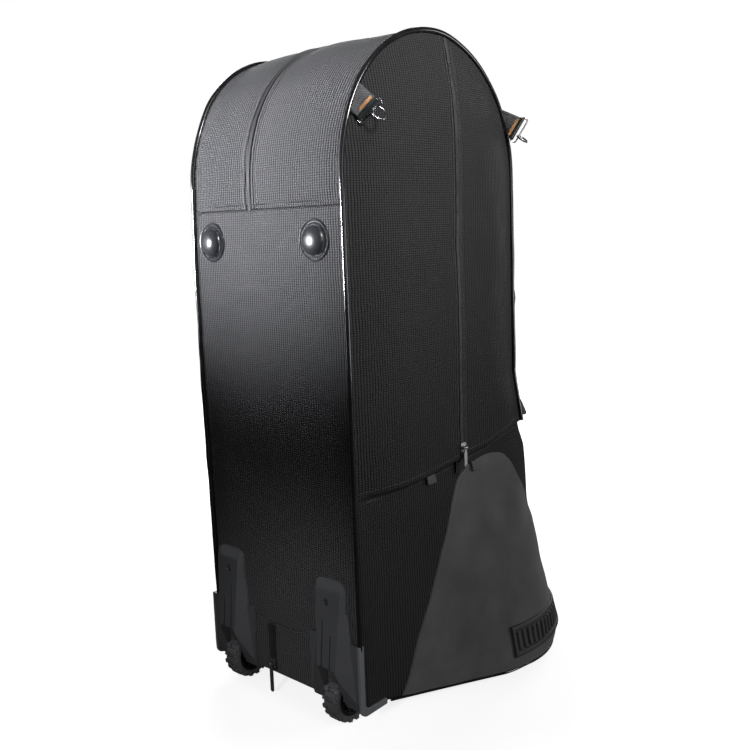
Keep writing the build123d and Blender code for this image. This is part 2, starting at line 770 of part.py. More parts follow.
def strap_axes(front):
    """The wire's direction, and the tab's way out and down at right angles to it."""
    wire = Vector(0.375, 0.375, 0.85) if front else Vector(0.55, 0.47, 0.69)
    wire = wire.normalized()
    out = (Vector(0, 0, -1) + wire * wire.Z).normalized()
    return wire, out


def wire_origin(front):
    """Middle of the wire that runs in the sleeve."""
    _, out = strap_axes(front)
    return arch_point(TAB_Z[front], front) + out * TAB_REACH


def strap_tab(front):
    """A short webbing tab sewn in the piping, with a sleeve at its end for the wire frame."""
    wire, out = strap_axes(front)
    flat = Plane(origin=wire_origin(front), x_dir=wire, z_dir=wire.cross(out))
    roots = [arch_point(TAB_Z[front] + lift, front) for lift in (TAB_ROOT_HALF, -TAB_ROOT_HALF)]
    high, low = (flat.to_local_coords(root + out * ROOT_GAP) for root in roots)
    half = TAB_WIDTH / 2 - 1
    with BuildPart() as tab:
        with BuildSketch(flat):
            with BuildLine():
                Polyline((-half, 0), (half, 0), (high.X, high.Y), (low.X, low.Y), close=True)
            make_face()
        extrude(amount=TAB_THICK / 2, both=True)
        add(rod(Plane(origin=wire_origin(front), z_dir=wire), SLEEVE_RADIUS, TAB_WIDTH - 3))
        add(rod(Plane(origin=wire_origin(front), z_dir=wire), SLEEVE_BORE, 80), mode=Mode.SUBTRACT)
    return tab


def strap_frame(front):
    """A closed wire frame whose upper run lies in the sleeve."""
    wire, out = strap_axes(front)
    flat = Plane(origin=wire_origin(front) + out * FRAME_DROP / 2, x_dir=wire, z_dir=wire.cross(out))
    with BuildPart() as frame:
        with BuildLine(flat) as path:
            half = TAB_WIDTH / 2 + 1
            corner = 3.0
            FilletPolyline(
                (-half, FRAME_DROP / 2), (half, FRAME_DROP / 2),
                (half, -FRAME_DROP / 2), (-half, -FRAME_DROP / 2), radius=corner, close=True,
            )
        with BuildSketch(Plane(origin=path.line @ 0, z_dir=path.line % 0)):
            Circle(WIRE)
        sweep(path=path.line)
    return frame


def strap_ring(front):
    """A round wire ring that hangs on the frame's lower run, off to one end of it."""
    wire, out = strap_axes(front)
    lower = wire_origin(front) + out * FRAME_DROP + wire * RING_ASIDE[front]
    turn = radians(RING_TURN[front])
    facing = wire * cos(turn) + out.cross(wire) * sin(turn)
    place = Plane(origin=lower + out * RING_HANG, x_dir=out, z_dir=facing)
    return cut_piece(place * Torus(RING_RADIUS, WIRE, mode=Mode.PRIVATE))


def strap_label(front):
    """A woven stripe sewn on the tab beside the sleeve."""
    wire, out = strap_axes(front)
    face = out.cross(wire)
    middle = wire_origin(front) - out * (SLEEVE_RADIUS + 2.4) + face * (TAB_THICK / 2 + 0.4)
    return Plane(origin=middle, x_dir=wire, z_dir=face) * Box(TAB_WIDTH - 8, 4, 0.8, mode=Mode.PRIVATE)


for end, front in (("rear", False), ("front", True)):
    save(strap_tab(front), f"strap_tab_{end}")
    save(strap_frame(front), f"strap_frame_{end}")
    save(strap_ring(front), f"strap_ring_{end}")

save(cut_piece(strap_label(False) + strap_label(True)), "strap_labels")

REAR_LOOP = slab((174.5, 180.5), (BACK + 152, BACK + 174), (327, 346))
FRONT_LOOP = slab((181.0, 187.0), (BACK + 258, BACK + 280), (327, 346))
save(cut_piece(REAR_LOOP + FRONT_LOOP), "lower_strap_loops")

HIGH_ANCHOR = slab((SIDE + 2.6, SIDE + 6), (FRONT - 12, FRONT + 3), (582, 624))
LOW_ANCHOR = slab((SIDE + 2.6, SIDE + 8), (FRONT - 12, FRONT + 5), (402, 444))
save(cut_piece(HIGH_ANCHOR + LOW_ANCHOR), "edge_anchors")
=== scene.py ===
"""Looks of the wheeled instrument bag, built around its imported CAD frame.

Metres, in the CAD part's own frame: +Z up, -Y the wheel side, +Y the side of the bell.
"""
import math

import bmesh
import bpy
import numpy as np
from mathutils import Matrix, Vector
from mathutils.bvhtree import BVHTree


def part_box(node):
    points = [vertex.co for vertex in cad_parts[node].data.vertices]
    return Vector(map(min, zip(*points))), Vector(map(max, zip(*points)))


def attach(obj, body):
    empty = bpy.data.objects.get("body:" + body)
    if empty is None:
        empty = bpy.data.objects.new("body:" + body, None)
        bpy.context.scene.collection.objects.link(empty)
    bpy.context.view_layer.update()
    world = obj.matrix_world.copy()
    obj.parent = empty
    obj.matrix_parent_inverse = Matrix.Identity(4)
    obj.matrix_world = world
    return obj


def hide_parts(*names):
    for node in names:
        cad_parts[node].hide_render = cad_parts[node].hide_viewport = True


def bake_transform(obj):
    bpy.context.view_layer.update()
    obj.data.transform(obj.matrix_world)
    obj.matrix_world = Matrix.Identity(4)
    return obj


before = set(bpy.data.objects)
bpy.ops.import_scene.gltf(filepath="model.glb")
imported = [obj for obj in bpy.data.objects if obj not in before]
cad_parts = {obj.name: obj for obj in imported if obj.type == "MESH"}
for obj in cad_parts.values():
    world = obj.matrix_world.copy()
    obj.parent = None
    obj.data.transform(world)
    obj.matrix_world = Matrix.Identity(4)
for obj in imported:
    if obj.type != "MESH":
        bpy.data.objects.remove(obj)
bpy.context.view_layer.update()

MM = 0.001

# Places read from the frame
back_low, back_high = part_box("back_panel")
_, gusset_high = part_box("upper_gusset_right")
front_low, front_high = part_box("front_panel")
BACK = back_low.y
FRONT = gusset_high.y
MID = (BACK + FRONT) / 2
SIDE = back_high.x
WALL = back_high.y - back_low.y
HEIGHT = gusset_high.z
SEAM_BACK = back_high.z
SEAM_FRONT = front_high.z
BOOT_TOP = front_low.z
ZIP_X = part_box("main_zip_slider")[0].x + 6 * MM
POCKET_Y = (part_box("pocket_zip_slider")[0].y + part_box("pocket_zip_slider")[1].y) / 2
KICK_X = (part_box("kick_zip_slider")[0].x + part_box("kick_zip_slider")[1].x) / 2
BELL_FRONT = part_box("boot_front")[1].y

# The bag's own proportions, as in its CAD
ARCH_RISE = 208 * MM  # from the arch's springing to the top
ARCH_Z = HEIGHT - ARCH_RISE
BELL_RADIUS = 242 * MM
BELL_Y = BELL_FRONT - BELL_RADIUS
BOOT_STRAIGHT = BACK + 50 * MM  # where the boot starts to flare
PIVOT_Y = BACK + 254 * MM  # the point that the boot's outline turns round
TOP_FLARE = 0.15  # share of the bell's circle in the outline at BOOT_TOP
BASE_LIFT = 36 * MM  # height of the base at the wheels
BASE_RUN = 480 * MM  # from the back to where the base lies flat
CROWN = 19 * MM  # how far a side panel stands out
PIPE = 3.8 * MM  # radius of the piping


# ---- small tools


def smooth(t):
    """0 below 0, 1 above 1, and an S curve between."""
    t = np.clip(t, 0, 1)
    return t * t * (3 - 2 * t)


def ease(distance, reach):
    """Rises from 0 at an edge to 1 at a reach in mm."""
    return smooth(distance / (reach * MM))


def bead(distance, at, width):
    """A rounded bead, 1 high, at a distance in mm."""
    return np.exp(-(((distance - at * MM) / (width * MM)) ** 2))


def edge_roll(distance, reach, drop):
    """How far cloth rolls down towards a seam, with reach and drop in mm."""
    t = np.clip(1 - distance / (reach * MM), 0, 1)
    return -drop * MM * (1 - np.sqrt(np.clip(1 - t * t, 0, 1)))


def waves(a, b, size, seed, count=9):
    """Gentle uneven ripples, about 1 high, with crests about size mm apart."""
    draw = np.random.default_rng(seed)
    total = 0
    for _ in range(count):
        angle, phase = draw.uniform(0, 2 * np.pi, 2)
        length = size * MM * draw.uniform(0.7, 1.9)
        total = total + np.sin((a * np.cos(angle) + b * np.sin(angle)) * 2 * np.pi / length + phase)
    return total / math.sqrt(count)


def spaced(points, step):
    """The line through points again, with points about step apart."""
    points = np.asarray(points, float)
    along = np.concatenate([[0], np.cumsum(np.linalg.norm(np.diff(points, axis=0), axis=1))])
    places = np.linspace(0, along[-1], max(2, int(round(along[-1] / step)) + 1))
    return np.stack([np.interp(places, along, values) for values in points.T], axis=1)


# The stuffed bag's unevenness, in mm: how far it stands out or sinks in at each height
SWELL_Z = (0, 100, 200, 300, 350, 400, 420, 450, 485)
SWELL_OUT = (0, 6, 10, 11, 12, 12, 9, 5, 0)
PINCH_Z = (0, 90, 250, 420, 700, 790, 880, 960)
PINCH_IN = (5, 6, 5, 0, 0, 6, 6, 0)


def swell(points):
    """The bag's unevenness: full above the bell at the front, slack at the left rear corner."""
    made = np.array(points, float)
    x, y, z = np.moveaxis(made.copy(), -1, 0)
    full = np.interp(z / MM, SWELL_Z, SWELL_OUT) * MM
    full *= ease(np.abs(x) - 60 * MM, 106) * ease(y - FRONT + 150 * MM, 150)
    slack = np.interp(z / MM, PINCH_Z, PINCH_IN) * MM
    slack *= ease(-x - 60 * MM, 106) * ease(BACK + 150 * MM - y, 150)
    crown = 5 * MM * bead(x, -5, 95) * bead(y - MID, -30, 120)
    made[..., 0] += np.sign(x) * 0.8 * full + slack
    made[..., 1] += 0.6 * full
    made[..., 2] += crown * ease(z - ARCH_Z, 120)
    return made


def make_object(name, vertices, faces, materials, uv=None, indices=None, sharp=50):
    """A smooth-shaded mesh object, with face normals pointing out."""
    mesh = bpy.data.meshes.new(name)
    mesh.from_pydata(np.asarray(vertices).tolist(), [], [tuple(map(int, f)) for f in faces])
    if uv is not None:
        layer = mesh.uv_layers.new(name="UVMap")
        corner = np.zeros(len(mesh.loops), np.int32)
        mesh.loops.foreach_get("vertex_index", corner)
        layer.data.foreach_set("uv", np.asarray(uv, np.float32)[corner].ravel())
    for material in materials:
        mesh.materials.append(material)
    if indices is not None:
        mesh.polygons.foreach_set("material_index", np.asarray(indices, np.int32))
    work = bmesh.new()
    work.from_mesh(mesh)
    bmesh.ops.recalc_face_normals(work, faces=work.faces)
    work.to_mesh(mesh)
    work.free()
    mesh.polygons.foreach_set("use_smooth", np.ones(len(mesh.polygons), bool))
    mesh.set_sharp_from_angle(angle=math.radians(sharp))
    made = bpy.data.objects.new(name, mesh)
    bpy.context.scene.collection.objects.link(made)
    return made


def grid_faces(rows, columns, first=0):
    """Quads of a grid of points stored row by row."""
    i, j = np.meshgrid(np.arange(rows - 1), np.arange(columns - 1), indexing="ij")
    a = first + i * columns + j
    return np.stack([a, a + 1, a + columns + 1, a + columns], axis=-1).reshape(-1, 4)


def rim_of(rows, columns):
    """Indices round the border of a grid, in order."""
    top = [(0, j) for j in range(columns)]
    right = [(i, columns - 1) for i in range(1, rows)]
    bottom = [(rows - 1, j) for j in range(columns - 2, -1, -1)]
    left = [(i, 0) for i in range(rows - 2, 0, -1)]
    return [i * columns + j for i, j in top + right + bottom + left]


def padded_piece(name, outer, inner, uv, cloth, lining, full=True):
    """A closed pad between an outer and an inner grid of points."""
    rows, columns = outer.shape[:2]
    count = rows * columns
    faces = [*grid_faces(rows, columns), *grid_faces(rows, columns, count)[:, ::-1]]
    rim = rim_of(rows, columns)
    faces += [(a, b, b + count, a + count) for a, b in zip(rim, rim[1:] + rim[:1])]
    quads = (rows - 1) * (columns - 1)
    indices = [0] * quads + [1] * quads + [0] * len(rim)
    vertices = np.concatenate([outer.reshape(-1, 3), inner.reshape(-1, 3)])
    if full:
        vertices = swell(vertices)
    flat_uv = np.concatenate([uv.reshape(-1, 2), uv.reshape(-1, 2)])
    return make_object(name, vertices, faces, [cloth, lining], flat_uv, indices, 60)


def ring_faces(rings, sides):
    """Quads between rings of points, and a flat face at each end."""
    faces = [(i + j, i + (j + 1) % sides, i + sides + (j + 1) % sides, i + sides + j)
             for i in range(0, (rings - 1) * sides, sides) for j in range(sides)]
    return faces + [tuple(range(sides))[::-1], tuple(range((rings - 1) * sides, rings * sides))]


def tube(name, points, radius, material, sides=12):
    """A round tube along points, with flat ends. The radius is one value or one for each point."""
    line = swell(points)
    ahead = np.roll(line, -1, axis=0) - np.roll(line, 1, axis=0)
    ahead[0], ahead[-1] = line[1] - line[0], line[-1] - line[-2]
    ahead /= np.linalg.norm(ahead, axis=1, keepdims=True)
    side = np.cross(ahead[0], (0.3, 0.5, 0.8))
    rings = []
    turns = np.linspace(0, 2 * np.pi, sides, endpoint=False)[:, None]
    for middle, direction, size in zip(line, ahead, np.broadcast_to(radius, len(line))):
        side = side - direction * side.dot(direction)
        side /= np.linalg.norm(side)
        other = np.cross(direction, side)
        rings.append(middle + size * (np.cos(turns) * side + np.sin(turns) * other))
    count = len(line)
    along = np.arange(count) * (radius if np.isscalar(radius) else 2 * MM)
    uv = np.stack([np.repeat(along, sides), np.tile(np.arange(sides) * 2 * MM, count)], axis=1)
    return make_object(name, np.concatenate(rings), ring_faces(count, sides), [material], uv)


def repeat(name, template, faces, places, material):
    """Copies of a small template mesh at many places, each with its own three axes."""
    template = np.asarray(template, float)
    vertices, all_faces = [], []
    for number, (middle, axes) in enumerate(places):
        vertices.append(middle + template @ axes)
        all_faces += [tuple(i + number * len(template) for i in face) for face in faces]
    return make_object(name, np.concatenate(vertices), all_faces, [material])


def lathe(name, profile, origin, axis, material, steps=64):
    """A turned shape, with flat ends: profile is (radius, height) pairs along the axis."""
    axis = np.asarray(axis, float)
    across = np.cross(axis, (0.1, 0.2, 0.97))
    across /= np.linalg.norm(across)
    other = np.cross(axis, across)
    turns = np.linspace(0, 2 * np.pi, steps, endpoint=False)
    circle = np.cos(turns)[:, None] * across + np.sin(turns)[:, None] * other
    rings = [np.asarray(origin) + r * circle + h * axis for r, h in profile]
    faces = ring_faces(len(profile), steps)
    return make_object(name, np.concatenate(rings), faces, [material], sharp=35)


def place(piece, body, slot, *nodes, fill=None):
    """Rides a piece on a body and hides the CAD nodes it stands for. The finish slot and the padding
    fill are not used.
    """
    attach(piece, body)
    if nodes:
        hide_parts(*nodes)
    return piece


def surface_of(piece):
    """A search tree over a piece's faces."""
    points = [v.co.copy() for v in piece.data.vertices]
    return BVHTree.FromPolygons(points, [tuple(p.vertices) for p in piece.data.polygons])


def onto(tree, point, direction):
    """Where a ray against a surface lands, and the normal there; the point itself if it misses."""
    direction = Vector(direction).normalized()
    hit, normal, _, _ = tree.ray_cast(Vector(point) - direction * 0.08, direction, 0.16)
    if hit is None:
        return Vector(point), -direction
    return hit, normal if normal.dot(direction) < 0 else -normal


# ---- materials


class Nodes:
    """A short way to write a material's node tree."""

    def __init__(self, name):
        self.material = bpy.data.materials.new(name)
        self.material.use_nodes = True
        self.tree = self.material.node_tree
        self.shader = self.tree.nodes["Principled BSDF"]

    def add(self, kind, **values):
        node = self.tree.nodes.new(kind)
        for key, value in values.items():
            setattr(node, key, value)
        return node

    def put(self, value, socket):
        if isinstance(value, bpy.types.NodeSocket):
            self.tree.links.new(value, socket)
        else:
            socket.default_value = value

    def math(self, operation, a, b=0.0, c=0.0, clamp=False):
        node = self.add("ShaderNodeMath", operation=operation, use_clamp=clamp)
        for value, socket in zip((a, b, c), node.inputs):
            self.put(value, socket)
        return node.outputs[0]

    def fill(self, node, **values):
        for key, value in values.items():
            self.put(value, node.inputs[key])
        return node.outputs[0]

    def noise(self, vector, scale, detail=3.0, roughness=0.5):
        node = self.add("ShaderNodeTexNoise")
        return self.fill(node, Vector=vector, Scale=scale, Detail=detail, Roughness=roughness)

    def ramp(self, value, low, high, colour_low, colour_high):
        node = self.add("ShaderNodeValToRGB")
        stops = zip(node.color_ramp.elements, (low, high), (colour_low, colour_high))
        for stop, position, colour in stops:
            stop.position, stop.color = position, (*colour, 1)
        self.put(value, node.inputs[0])
        return node.outputs[0]

    def span(self, value, low, high, to_low, to_high):
        node = self.add("ShaderNodeMapRange")
        for item, socket in zip((value, low, high, to_low, to_high), node.inputs):
            self.put(item, socket)
        return node.outputs[0]

    def bump(self, height, strength, distance, **normal):
        node = self.add("ShaderNodeBump")
        return self.fill(node, Height=height, Strength=strength, Distance=distance, **normal)

    def spread(self):
        """The UV map, and the place in the piece's own space."""
        node = self.add("ShaderNodeTexCoord")
        return node.outputs["UV"], node.outputs["Object"]

    def ridges(self, across):
        """A row of round ridges, one to each whole step."""
        return self.math("ABSOLUTE", self.math("SINE", self.math("MULTIPLY", across, math.pi)))

    def flecked(self, colour, spot, scale, cut, amount, tint):
        """The colour with pale flecks where a fine noise rises above a cut."""
        lint = self.math("GREATER_THAN", self.noise(spot, scale, 2.0, 0.8), cut)
        mix = self.add("ShaderNodeMixRGB", blend_type="ADD")
        mix.inputs[2].default_value = (*tint, 1)
        self.put(self.math("MULTIPLY", lint, amount), mix.inputs[0])
        self.put(colour, mix.inputs[1])
        return mix.outputs[0]

    def finish(self, colour, roughness, normal=None, **constants):
        links = {"Base Color": colour, "Roughness": roughness}
        if normal is not None:
            links["Normal"] = normal
        self.fill(self.shader, **links)
        for key, value in constants.items():
            self.shader.inputs[key.replace("_", " ")].default_value = value
        return self.material


def weave_height(nodes, uv, pitch):
    """Height of a plain weave: each thread is round and dips under its neighbours."""
    parts = nodes.add("ShaderNodeSeparateXYZ")
    nodes.put(uv, parts.inputs[0])
    u, v = (nodes.math("DIVIDE", parts.outputs[k], pitch) for k in (0, 1))
    heights = []
    for across, along, turn in ((u, v, 0.0), (v, u, math.pi)):
        step = nodes.math("ADD", along, nodes.math("FLOOR", across))
        wave = nodes.math("COSINE", nodes.math("MULTIPLY_ADD", step, math.pi, turn))
        rise = nodes.math("MULTIPLY_ADD", wave, 0.5, 0.5)
        heights.append(nodes.math("MULTIPLY", nodes.ridges(across), rise))
    return nodes.math("MAXIMUM", *heights)


def corded_height(nodes, uv, pitch):
    """Height of a corded weave: upright ribs, each a column of round floats."""
    parts = nodes.add("ShaderNodeSeparateXYZ")
    nodes.put(uv, parts.inputs[0])
    sway = nodes.math("MULTIPLY", nodes.noise(uv, 30.0, 2.0, 0.5), pitch * 0.9)
    u = nodes.math("DIVIDE", nodes.math("ADD", parts.outputs[0], sway), pitch)
    v = nodes.math("DIVIDE", parts.outputs[1], pitch * 0.74)
    knot = nodes.math("MULTIPLY_ADD", nodes.ridges(v), 0.62, 0.38)
    return nodes.math("MULTIPLY", nodes.ridges(u), knot)


def woven(name, dark, light, pitch, depth, rough, sheen, wear,
          specular=0.4, thread=0.6, relief=weave_height):
    """Woven synthetic cloth with thread relief, uneven tone, painted shade in the hollows between
    threads with lighter crests, and a little lint.
    """
    n = Nodes(name)
    uv, spot = n.spread()
    height = relief(n, uv, pitch)
    blotch = n.noise(spot, 9.0, 4.0, 0.6)
    fine = n.noise(spot, 900.0, 2.0, 0.7)
    # Painted shade: part of the colour follows the thread relief, darker in the hollows between
    # threads and lighter on their crests, mixed with blotchy random tone.
    tone = n.math("MULTIPLY_ADD", blotch, 1 - thread, n.math("MULTIPLY", height, thread))
    colour = n.ramp(tone, 0.12, 0.85, dark, light)
    colour = n.flecked(colour, spot, 260.0, 0.735, 0.05 * wear, (0.6, 0.6, 0.62))
    gloss = n.math("ADD", fine, n.math("MULTIPLY", blotch, 0.5))
    roughness = n.span(gloss, 0.4, 1.1, rough - 0.07, rough + 0.1)
    slub = n.bump(n.noise(spot, 55.0, 3.0, 0.6), 0.14, 0.0016)
    normal = n.bump(height, 0.8, depth, Normal=slub)
    return n.finish(colour, roughness, normal, Sheen_Weight=sheen, Sheen_Roughness=0.45,
                    Specular_IOR_Level=specular)


def napped(name, dark, light, rough):
    """Smooth brushed cloth with soft mottling and a fine grain."""
    n = Nodes(name)
    uv, spot = n.spread()
    cloud = n.noise(spot, 14.0, 6.0, 0.62)
    grain = n.noise(spot, 1500.0, 2.0, 0.7)
    tone = n.math("MULTIPLY_ADD", grain, 0.35, n.math("MULTIPLY", cloud, 0.65))
    colour = n.ramp(tone, 0.3, 0.72, dark, light)
    colour = n.flecked(colour, spot, 420.0, 0.72, 0.03, (0.55, 0.5, 0.48))
    roughness = n.span(cloud, 0.3, 0.7, rough - 0.06, rough + 0.08)
    soft = n.bump(n.noise(spot, 38.0, 3.0, 0.5), 0.12, 0.002)
    weave = n.bump(weave_height(n, uv, 0.0009), 0.25, 0.0002, Normal=soft)
    normal = n.bump(grain, 0.3, 0.0004, Normal=weave)
    return n.finish(colour, roughness, normal, Sheen_Weight=0.35, Sheen_Roughness=0.55,
                    Specular_IOR_Level=0.3)


def moulded(name, colour, rough, grain_size, grain_depth, coat=0.0, wear=0.02, specular=0.5):
    """Moulded plastic or rubber: fine spark grain, smudges and paler scuffs."""
    n = Nodes(name)
    _, spot = n.spread()
    grain = n.noise(spot, grain_size, 2.0, 0.6)
    smudge = n.noise(spot, 22.0, 4.0, 0.6)
    scuff = n.math("GREATER_THAN", n.noise(spot, 70.0, 6.0, 0.75), 0.66)
    pale = tuple(min(1.0, c + wear) for c in colour)
    tone = n.math("MULTIPLY_ADD", scuff, 0.5, n.math("MULTIPLY", smudge, 0.5))
    base = n.ramp(tone, 0.2, 0.95, colour, pale)
    roughness = n.span(smudge, 0.3, 0.7, rough - 0.07, rough + 0.1)
    normal = n.bump(grain, 0.35, grain_depth)
    return n.finish(base, roughness, normal, Coat_Weight=coat, Coat_Roughness=0.12,
                    Specular_IOR_Level=specular)


def metal(name, colour, rough, brushed=0.0):
    """Plated metal with faint handling marks."""
    n = Nodes(name)
    _, spot = n.spread()
    mark = n.noise(spot, 180.0, 4.0, 0.7)
    dark = tuple(c * 0.7 for c in colour)
    base = n.ramp(mark, 0.3, 0.7, dark, colour)
    roughness = n.span(mark, 0.3, 0.7, rough, rough + 0.15)
    normal = n.bump(n.noise(spot, 900.0, 2.0, 0.6), 0.1 + brushed, 0.00005)
    return n.finish(base, roughness, normal, Metallic=1.0)


GUSSET = woven("gusset_cloth", (0.002, 0.002, 0.0022), (0.125, 0.125, 0.132), 0.0046, 0.0024,
               0.5, 0.06, 0.5, 0.4, 0.9, corded_height)
PANEL = woven("panel_cloth", (0.002, 0.002, 0.0022), (0.042, 0.042, 0.044), 0.0044, 0.0018,
              0.6, 0.03, 0.8, 0.25, 0.86, corded_height)
LINING = napped("lining_cloth", (0.018, 0.018, 0.02), (0.035, 0.035, 0.038), 0.8)
PATCH = napped("patch_cloth", (0.05, 0.0485, 0.0485), (0.135, 0.129, 0.13), 0.76)
WEBBING = woven("webbing", (0.005, 0.005, 0.006), (0.17, 0.17, 0.178), 0.0013, 0.0006,
                0.6, 0.2, 0.6)
TAPE = woven("zip_tape", (0.006, 0.006, 0.007), (0.022, 0.022, 0.024), 0.0009, 0.0004,
             0.65, 0.1, 0.3)
LABEL = woven("label_weave", (0.28, 0.11, 0.03), (0.75, 0.38, 0.16), 0.0007, 0.0003,
              0.5, 0.2, 0.2)
THREAD = woven("thread", (0.04, 0.04, 0.042), (0.15, 0.15, 0.155), 0.0005, 0.0002,
               0.45, 0.1, 0.0)
PIPING = moulded("piping_vinyl", (0.008, 0.008, 0.009), 0.2, 700.0, 0.00004, 0.6, 0.01)
TEETH = moulded("coil_nylon", (0.04, 0.04, 0.042), 0.55, 900.0, 0.00004, 0.0, 0.03, 0.3)
DOME = moulded("foot_plastic", (0.028, 0.029, 0.033), 0.27, 1200.0, 0.00003, 0.25, 0.012)
HOUSING = moulded("housing_plastic", (0.095, 0.097, 0.103), 0.34, 1600.0, 0.0002, 0.0, 0.012)
RAIL = moulded("rail_plastic", (0.19, 0.194, 0.205), 0.32, 1600.0, 0.0002, 0.0, 0.014)
RUBBER = moulded("guard_rubber", (0.045, 0.045, 0.048), 0.55, 1400.0, 0.0002, 0.0, 0.015)
TYRE = moulded("tyre_rubber", (0.12, 0.12, 0.127), 0.38, 1100.0, 0.0002, 0.0, 0.03)
HUB = moulded("hub_plastic", (0.010, 0.010, 0.011), 0.4, 1200.0, 0.0001)
BOARD = moulded("base_board", (0.012, 0.012, 0.013), 0.7, 600.0, 0.0004, 0.0, 0.02)
FOAM = napped("foam_cover", (0.012, 0.012, 0.013), (0.03, 0.03, 0.032), 0.85)
WIRE = metal("bright_wire", (0.62, 0.62, 0.65), 0.14)
SLEEVE = moulded("sleeve_vinyl", (0.022, 0.026, 0.026), 0.24, 500.0, 0.0001, 0.5, 0.02)
ZIP_METAL = metal("zip_metal", (0.5, 0.5, 0.52), 0.3)
STEEL = metal("plated_steel", (0.45, 0.45, 0.46), 0.25, 0.2)


# ---- the bag's outline


def outline(z_back, z_front, step=4 * MM):
    """Points (y, z) up the back, over the arch and down the front, and their outward normals."""
    turn = np.linspace(np.pi, 0, 241)
    arc = np.stack([MID + (FRONT - MID) * np.cos(turn), ARCH_Z + ARCH_RISE * np.sin(turn)], axis=1)
    line = spaced(np.concatenate([[(BACK, z_back)], arc, [(FRONT, z_front)]]), step)
    ahead = np.gradient(line, axis=0)
    ahead /= np.linalg.norm(ahead, axis=1, keepdims=True)
    return line, np.stack([-ahead[:, 1], ahead[:, 0]], axis=1)


ZIP_GAP = 4.6 * MM  # from the zip's middle to the cloth
ZIP_REACH = 22 * MM  # the strip beside the zip that has a finer grid


def gusset_piece(name, x_from, x_to, zip_side, seed, body, *nodes):
    """One side of the curved gusset, with the zip's folded lip along its zip edge."""
    line, normal = outline(SEAM_BACK + 0.6 * MM, SEAM_FRONT + 0.6 * MM, 1 * MM)
    rows = np.arange(len(line))
    rows = rows[(rows < 16) | (rows % 4 == 0) | (rows == rows[-1])]
    line, normal, along = line[rows, None], normal[rows, None], rows * 1 * MM
    start, end = (x_from + ZIP_GAP, x_to) if zip_side < 0 else (x_from, x_to - ZIP_GAP)
    fine = np.concatenate([np.linspace(0, ZIP_REACH, 16)[:-1],
                           np.linspace(ZIP_REACH, end - start, 30)])
    xs = start + fine if zip_side < 0 else (end - fine)[::-1]
    s, x = np.meshgrid(along, xs, indexing="ij")
    from_zip, from_pipe = (x - start, end - x) if zip_side < 0 else (end - x, x - start)
    from_seam = np.minimum(s, along[-1] - s)
    lift = 2.2 * MM * ease(from_pipe, 40) * ease(from_zip, 60)
    lift += edge_roll(from_pipe, 7, 2.6) + edge_roll(from_seam, 5, 2.2)
    lift += 1.5 * MM * bead(from_zip, 5.5, 4.2) + edge_roll(from_zip, 3.2, 2.6)
    welt = 11 if zip_side < 0 else 6
    lift += MM * (0.9 * bead(from_zip, welt, 1.8) - 0.8 * bead(from_zip, welt - 3.4, 1.3))
    fold = 6.4 * MM + 0.7 * MM * waves(x, 0, 60, seed + 5)
    lift -= 1.7 * MM * bead(s - fold, 0, 1.2) * ease(x + SIDE, 50)
    calm = ease(from_pipe, 30) * ease(from_zip, 30) * ease(from_seam, 30)
    lift += calm * MM * (0.8 * waves(s, x, 190, seed) + 0.25 * waves(s, x, 60, seed + 1))
    outer = np.concatenate([x[..., None], line + normal * lift[..., None]], axis=-1)
    inside = np.broadcast_to(line - normal * (WALL - 1 * MM), (*s.shape, 2))
    inner_x = np.clip(x, -SIDE + 4 * MM, SIDE - 4 * MM)
    inner = np.concatenate([inner_x[..., None], inside], axis=-1)
    piece = padded_piece(name, outer, inner, np.stack([x, s], axis=-1), GUSSET, LINING)
    return place(piece, body, "ballistic_nylon", *nodes, fill=0.7)


gusset_right = gusset_piece("gusset_right", ZIP_X, SIDE, -1, 3, "bag", "upper_gusset_right")
gusset_left = gusset_piece("gusset_left", -SIDE, ZIP_X, 1, 7, "flap", "upper_gusset_left")


def kick_seam(x):
    """Height of the curved seam above the kick panel."""
    return (120 + 16 * (x / SIDE) ** 2) * MM


def back_piece(name, low, high, rows, seed, *nodes):
    """A flat padded panel on the back between two seams, each a function of x."""
    near = SIDE - 20 * MM
    xs = np.concatenate([np.linspace(-SIDE, -near, 8)[:-1], np.linspace(-near, near, 90),
                         np.linspace(near, SIDE, 8)[1:]])
    edge = 5 * MM / (high(0) - low(0))
    ends = np.array([0, edge * 0.3, edge * 0.7])
    t = np.concatenate([ends, np.linspace(edge, 1 - edge, rows), 1 - ends[::-1]])
    t, x = np.meshgrid(t, xs, indexing="ij")
    z = low(x) + (high(x) - low(x)) * t
    from_seam = np.minimum(z - low(x), high(x) - z)
    from_pipe = SIDE - np.abs(x)
    lift = 2.0 * MM * ease(from_pipe, 50) * ease(from_seam, 40)
    lift += edge_roll(from_pipe, 7, 2.6) + edge_roll(from_seam, 5, 2.2)
    calm = ease(from_pipe, 30) * ease(from_seam, 25)
    lift += calm * MM * (0.9 * waves(x, z, 210, seed) + 0.25 * waves(x, z, 70, seed + 1))
    outer = np.stack([x * 0.994, BACK - lift, z], axis=-1)
    inner = np.stack([x * 0.97, np.full_like(x, BACK + WALL - 1 * MM), z], axis=-1)
    piece = padded_piece(name, outer, inner, np.stack([x, z], axis=-1), GUSSET, LINING)
    return place(piece, "bag", "ballistic_nylon", *nodes, fill=0.7)


back_cloth = back_piece("back_panel_cloth", kick_seam, lambda x: SEAM_BACK, 130, 11, "back_panel")
kick_cloth = back_piece("kick_panel_cloth", lambda x: BASE_LIFT, kick_seam, 22, 13, "kick_panel")


# ---- side panels


BOOT_SEAM_Y = (0, 32, 96, 164, 230, 286, 316, 343, 371, 380)
BOOT_SEAM_Z = (347, 349, 351, 358, 368, 377, 385, 392, 399, 400.6)


def boot_seam(y):
    """Height of the seam between a side panel and the boot: it climbs towards the front."""
    return np.interp((y - BACK) / MM, BOOT_SEAM_Y, BOOT_SEAM_Z) * MM


def arch_edges(z):
    """Where the outline's back and front edges are at a height."""
    rise = np.clip((z - ARCH_Z) / ARCH_RISE, 0, 1)
    half = (FRONT - MID) * np.sqrt(1 - rise**2)
    return MID - half, MID + half


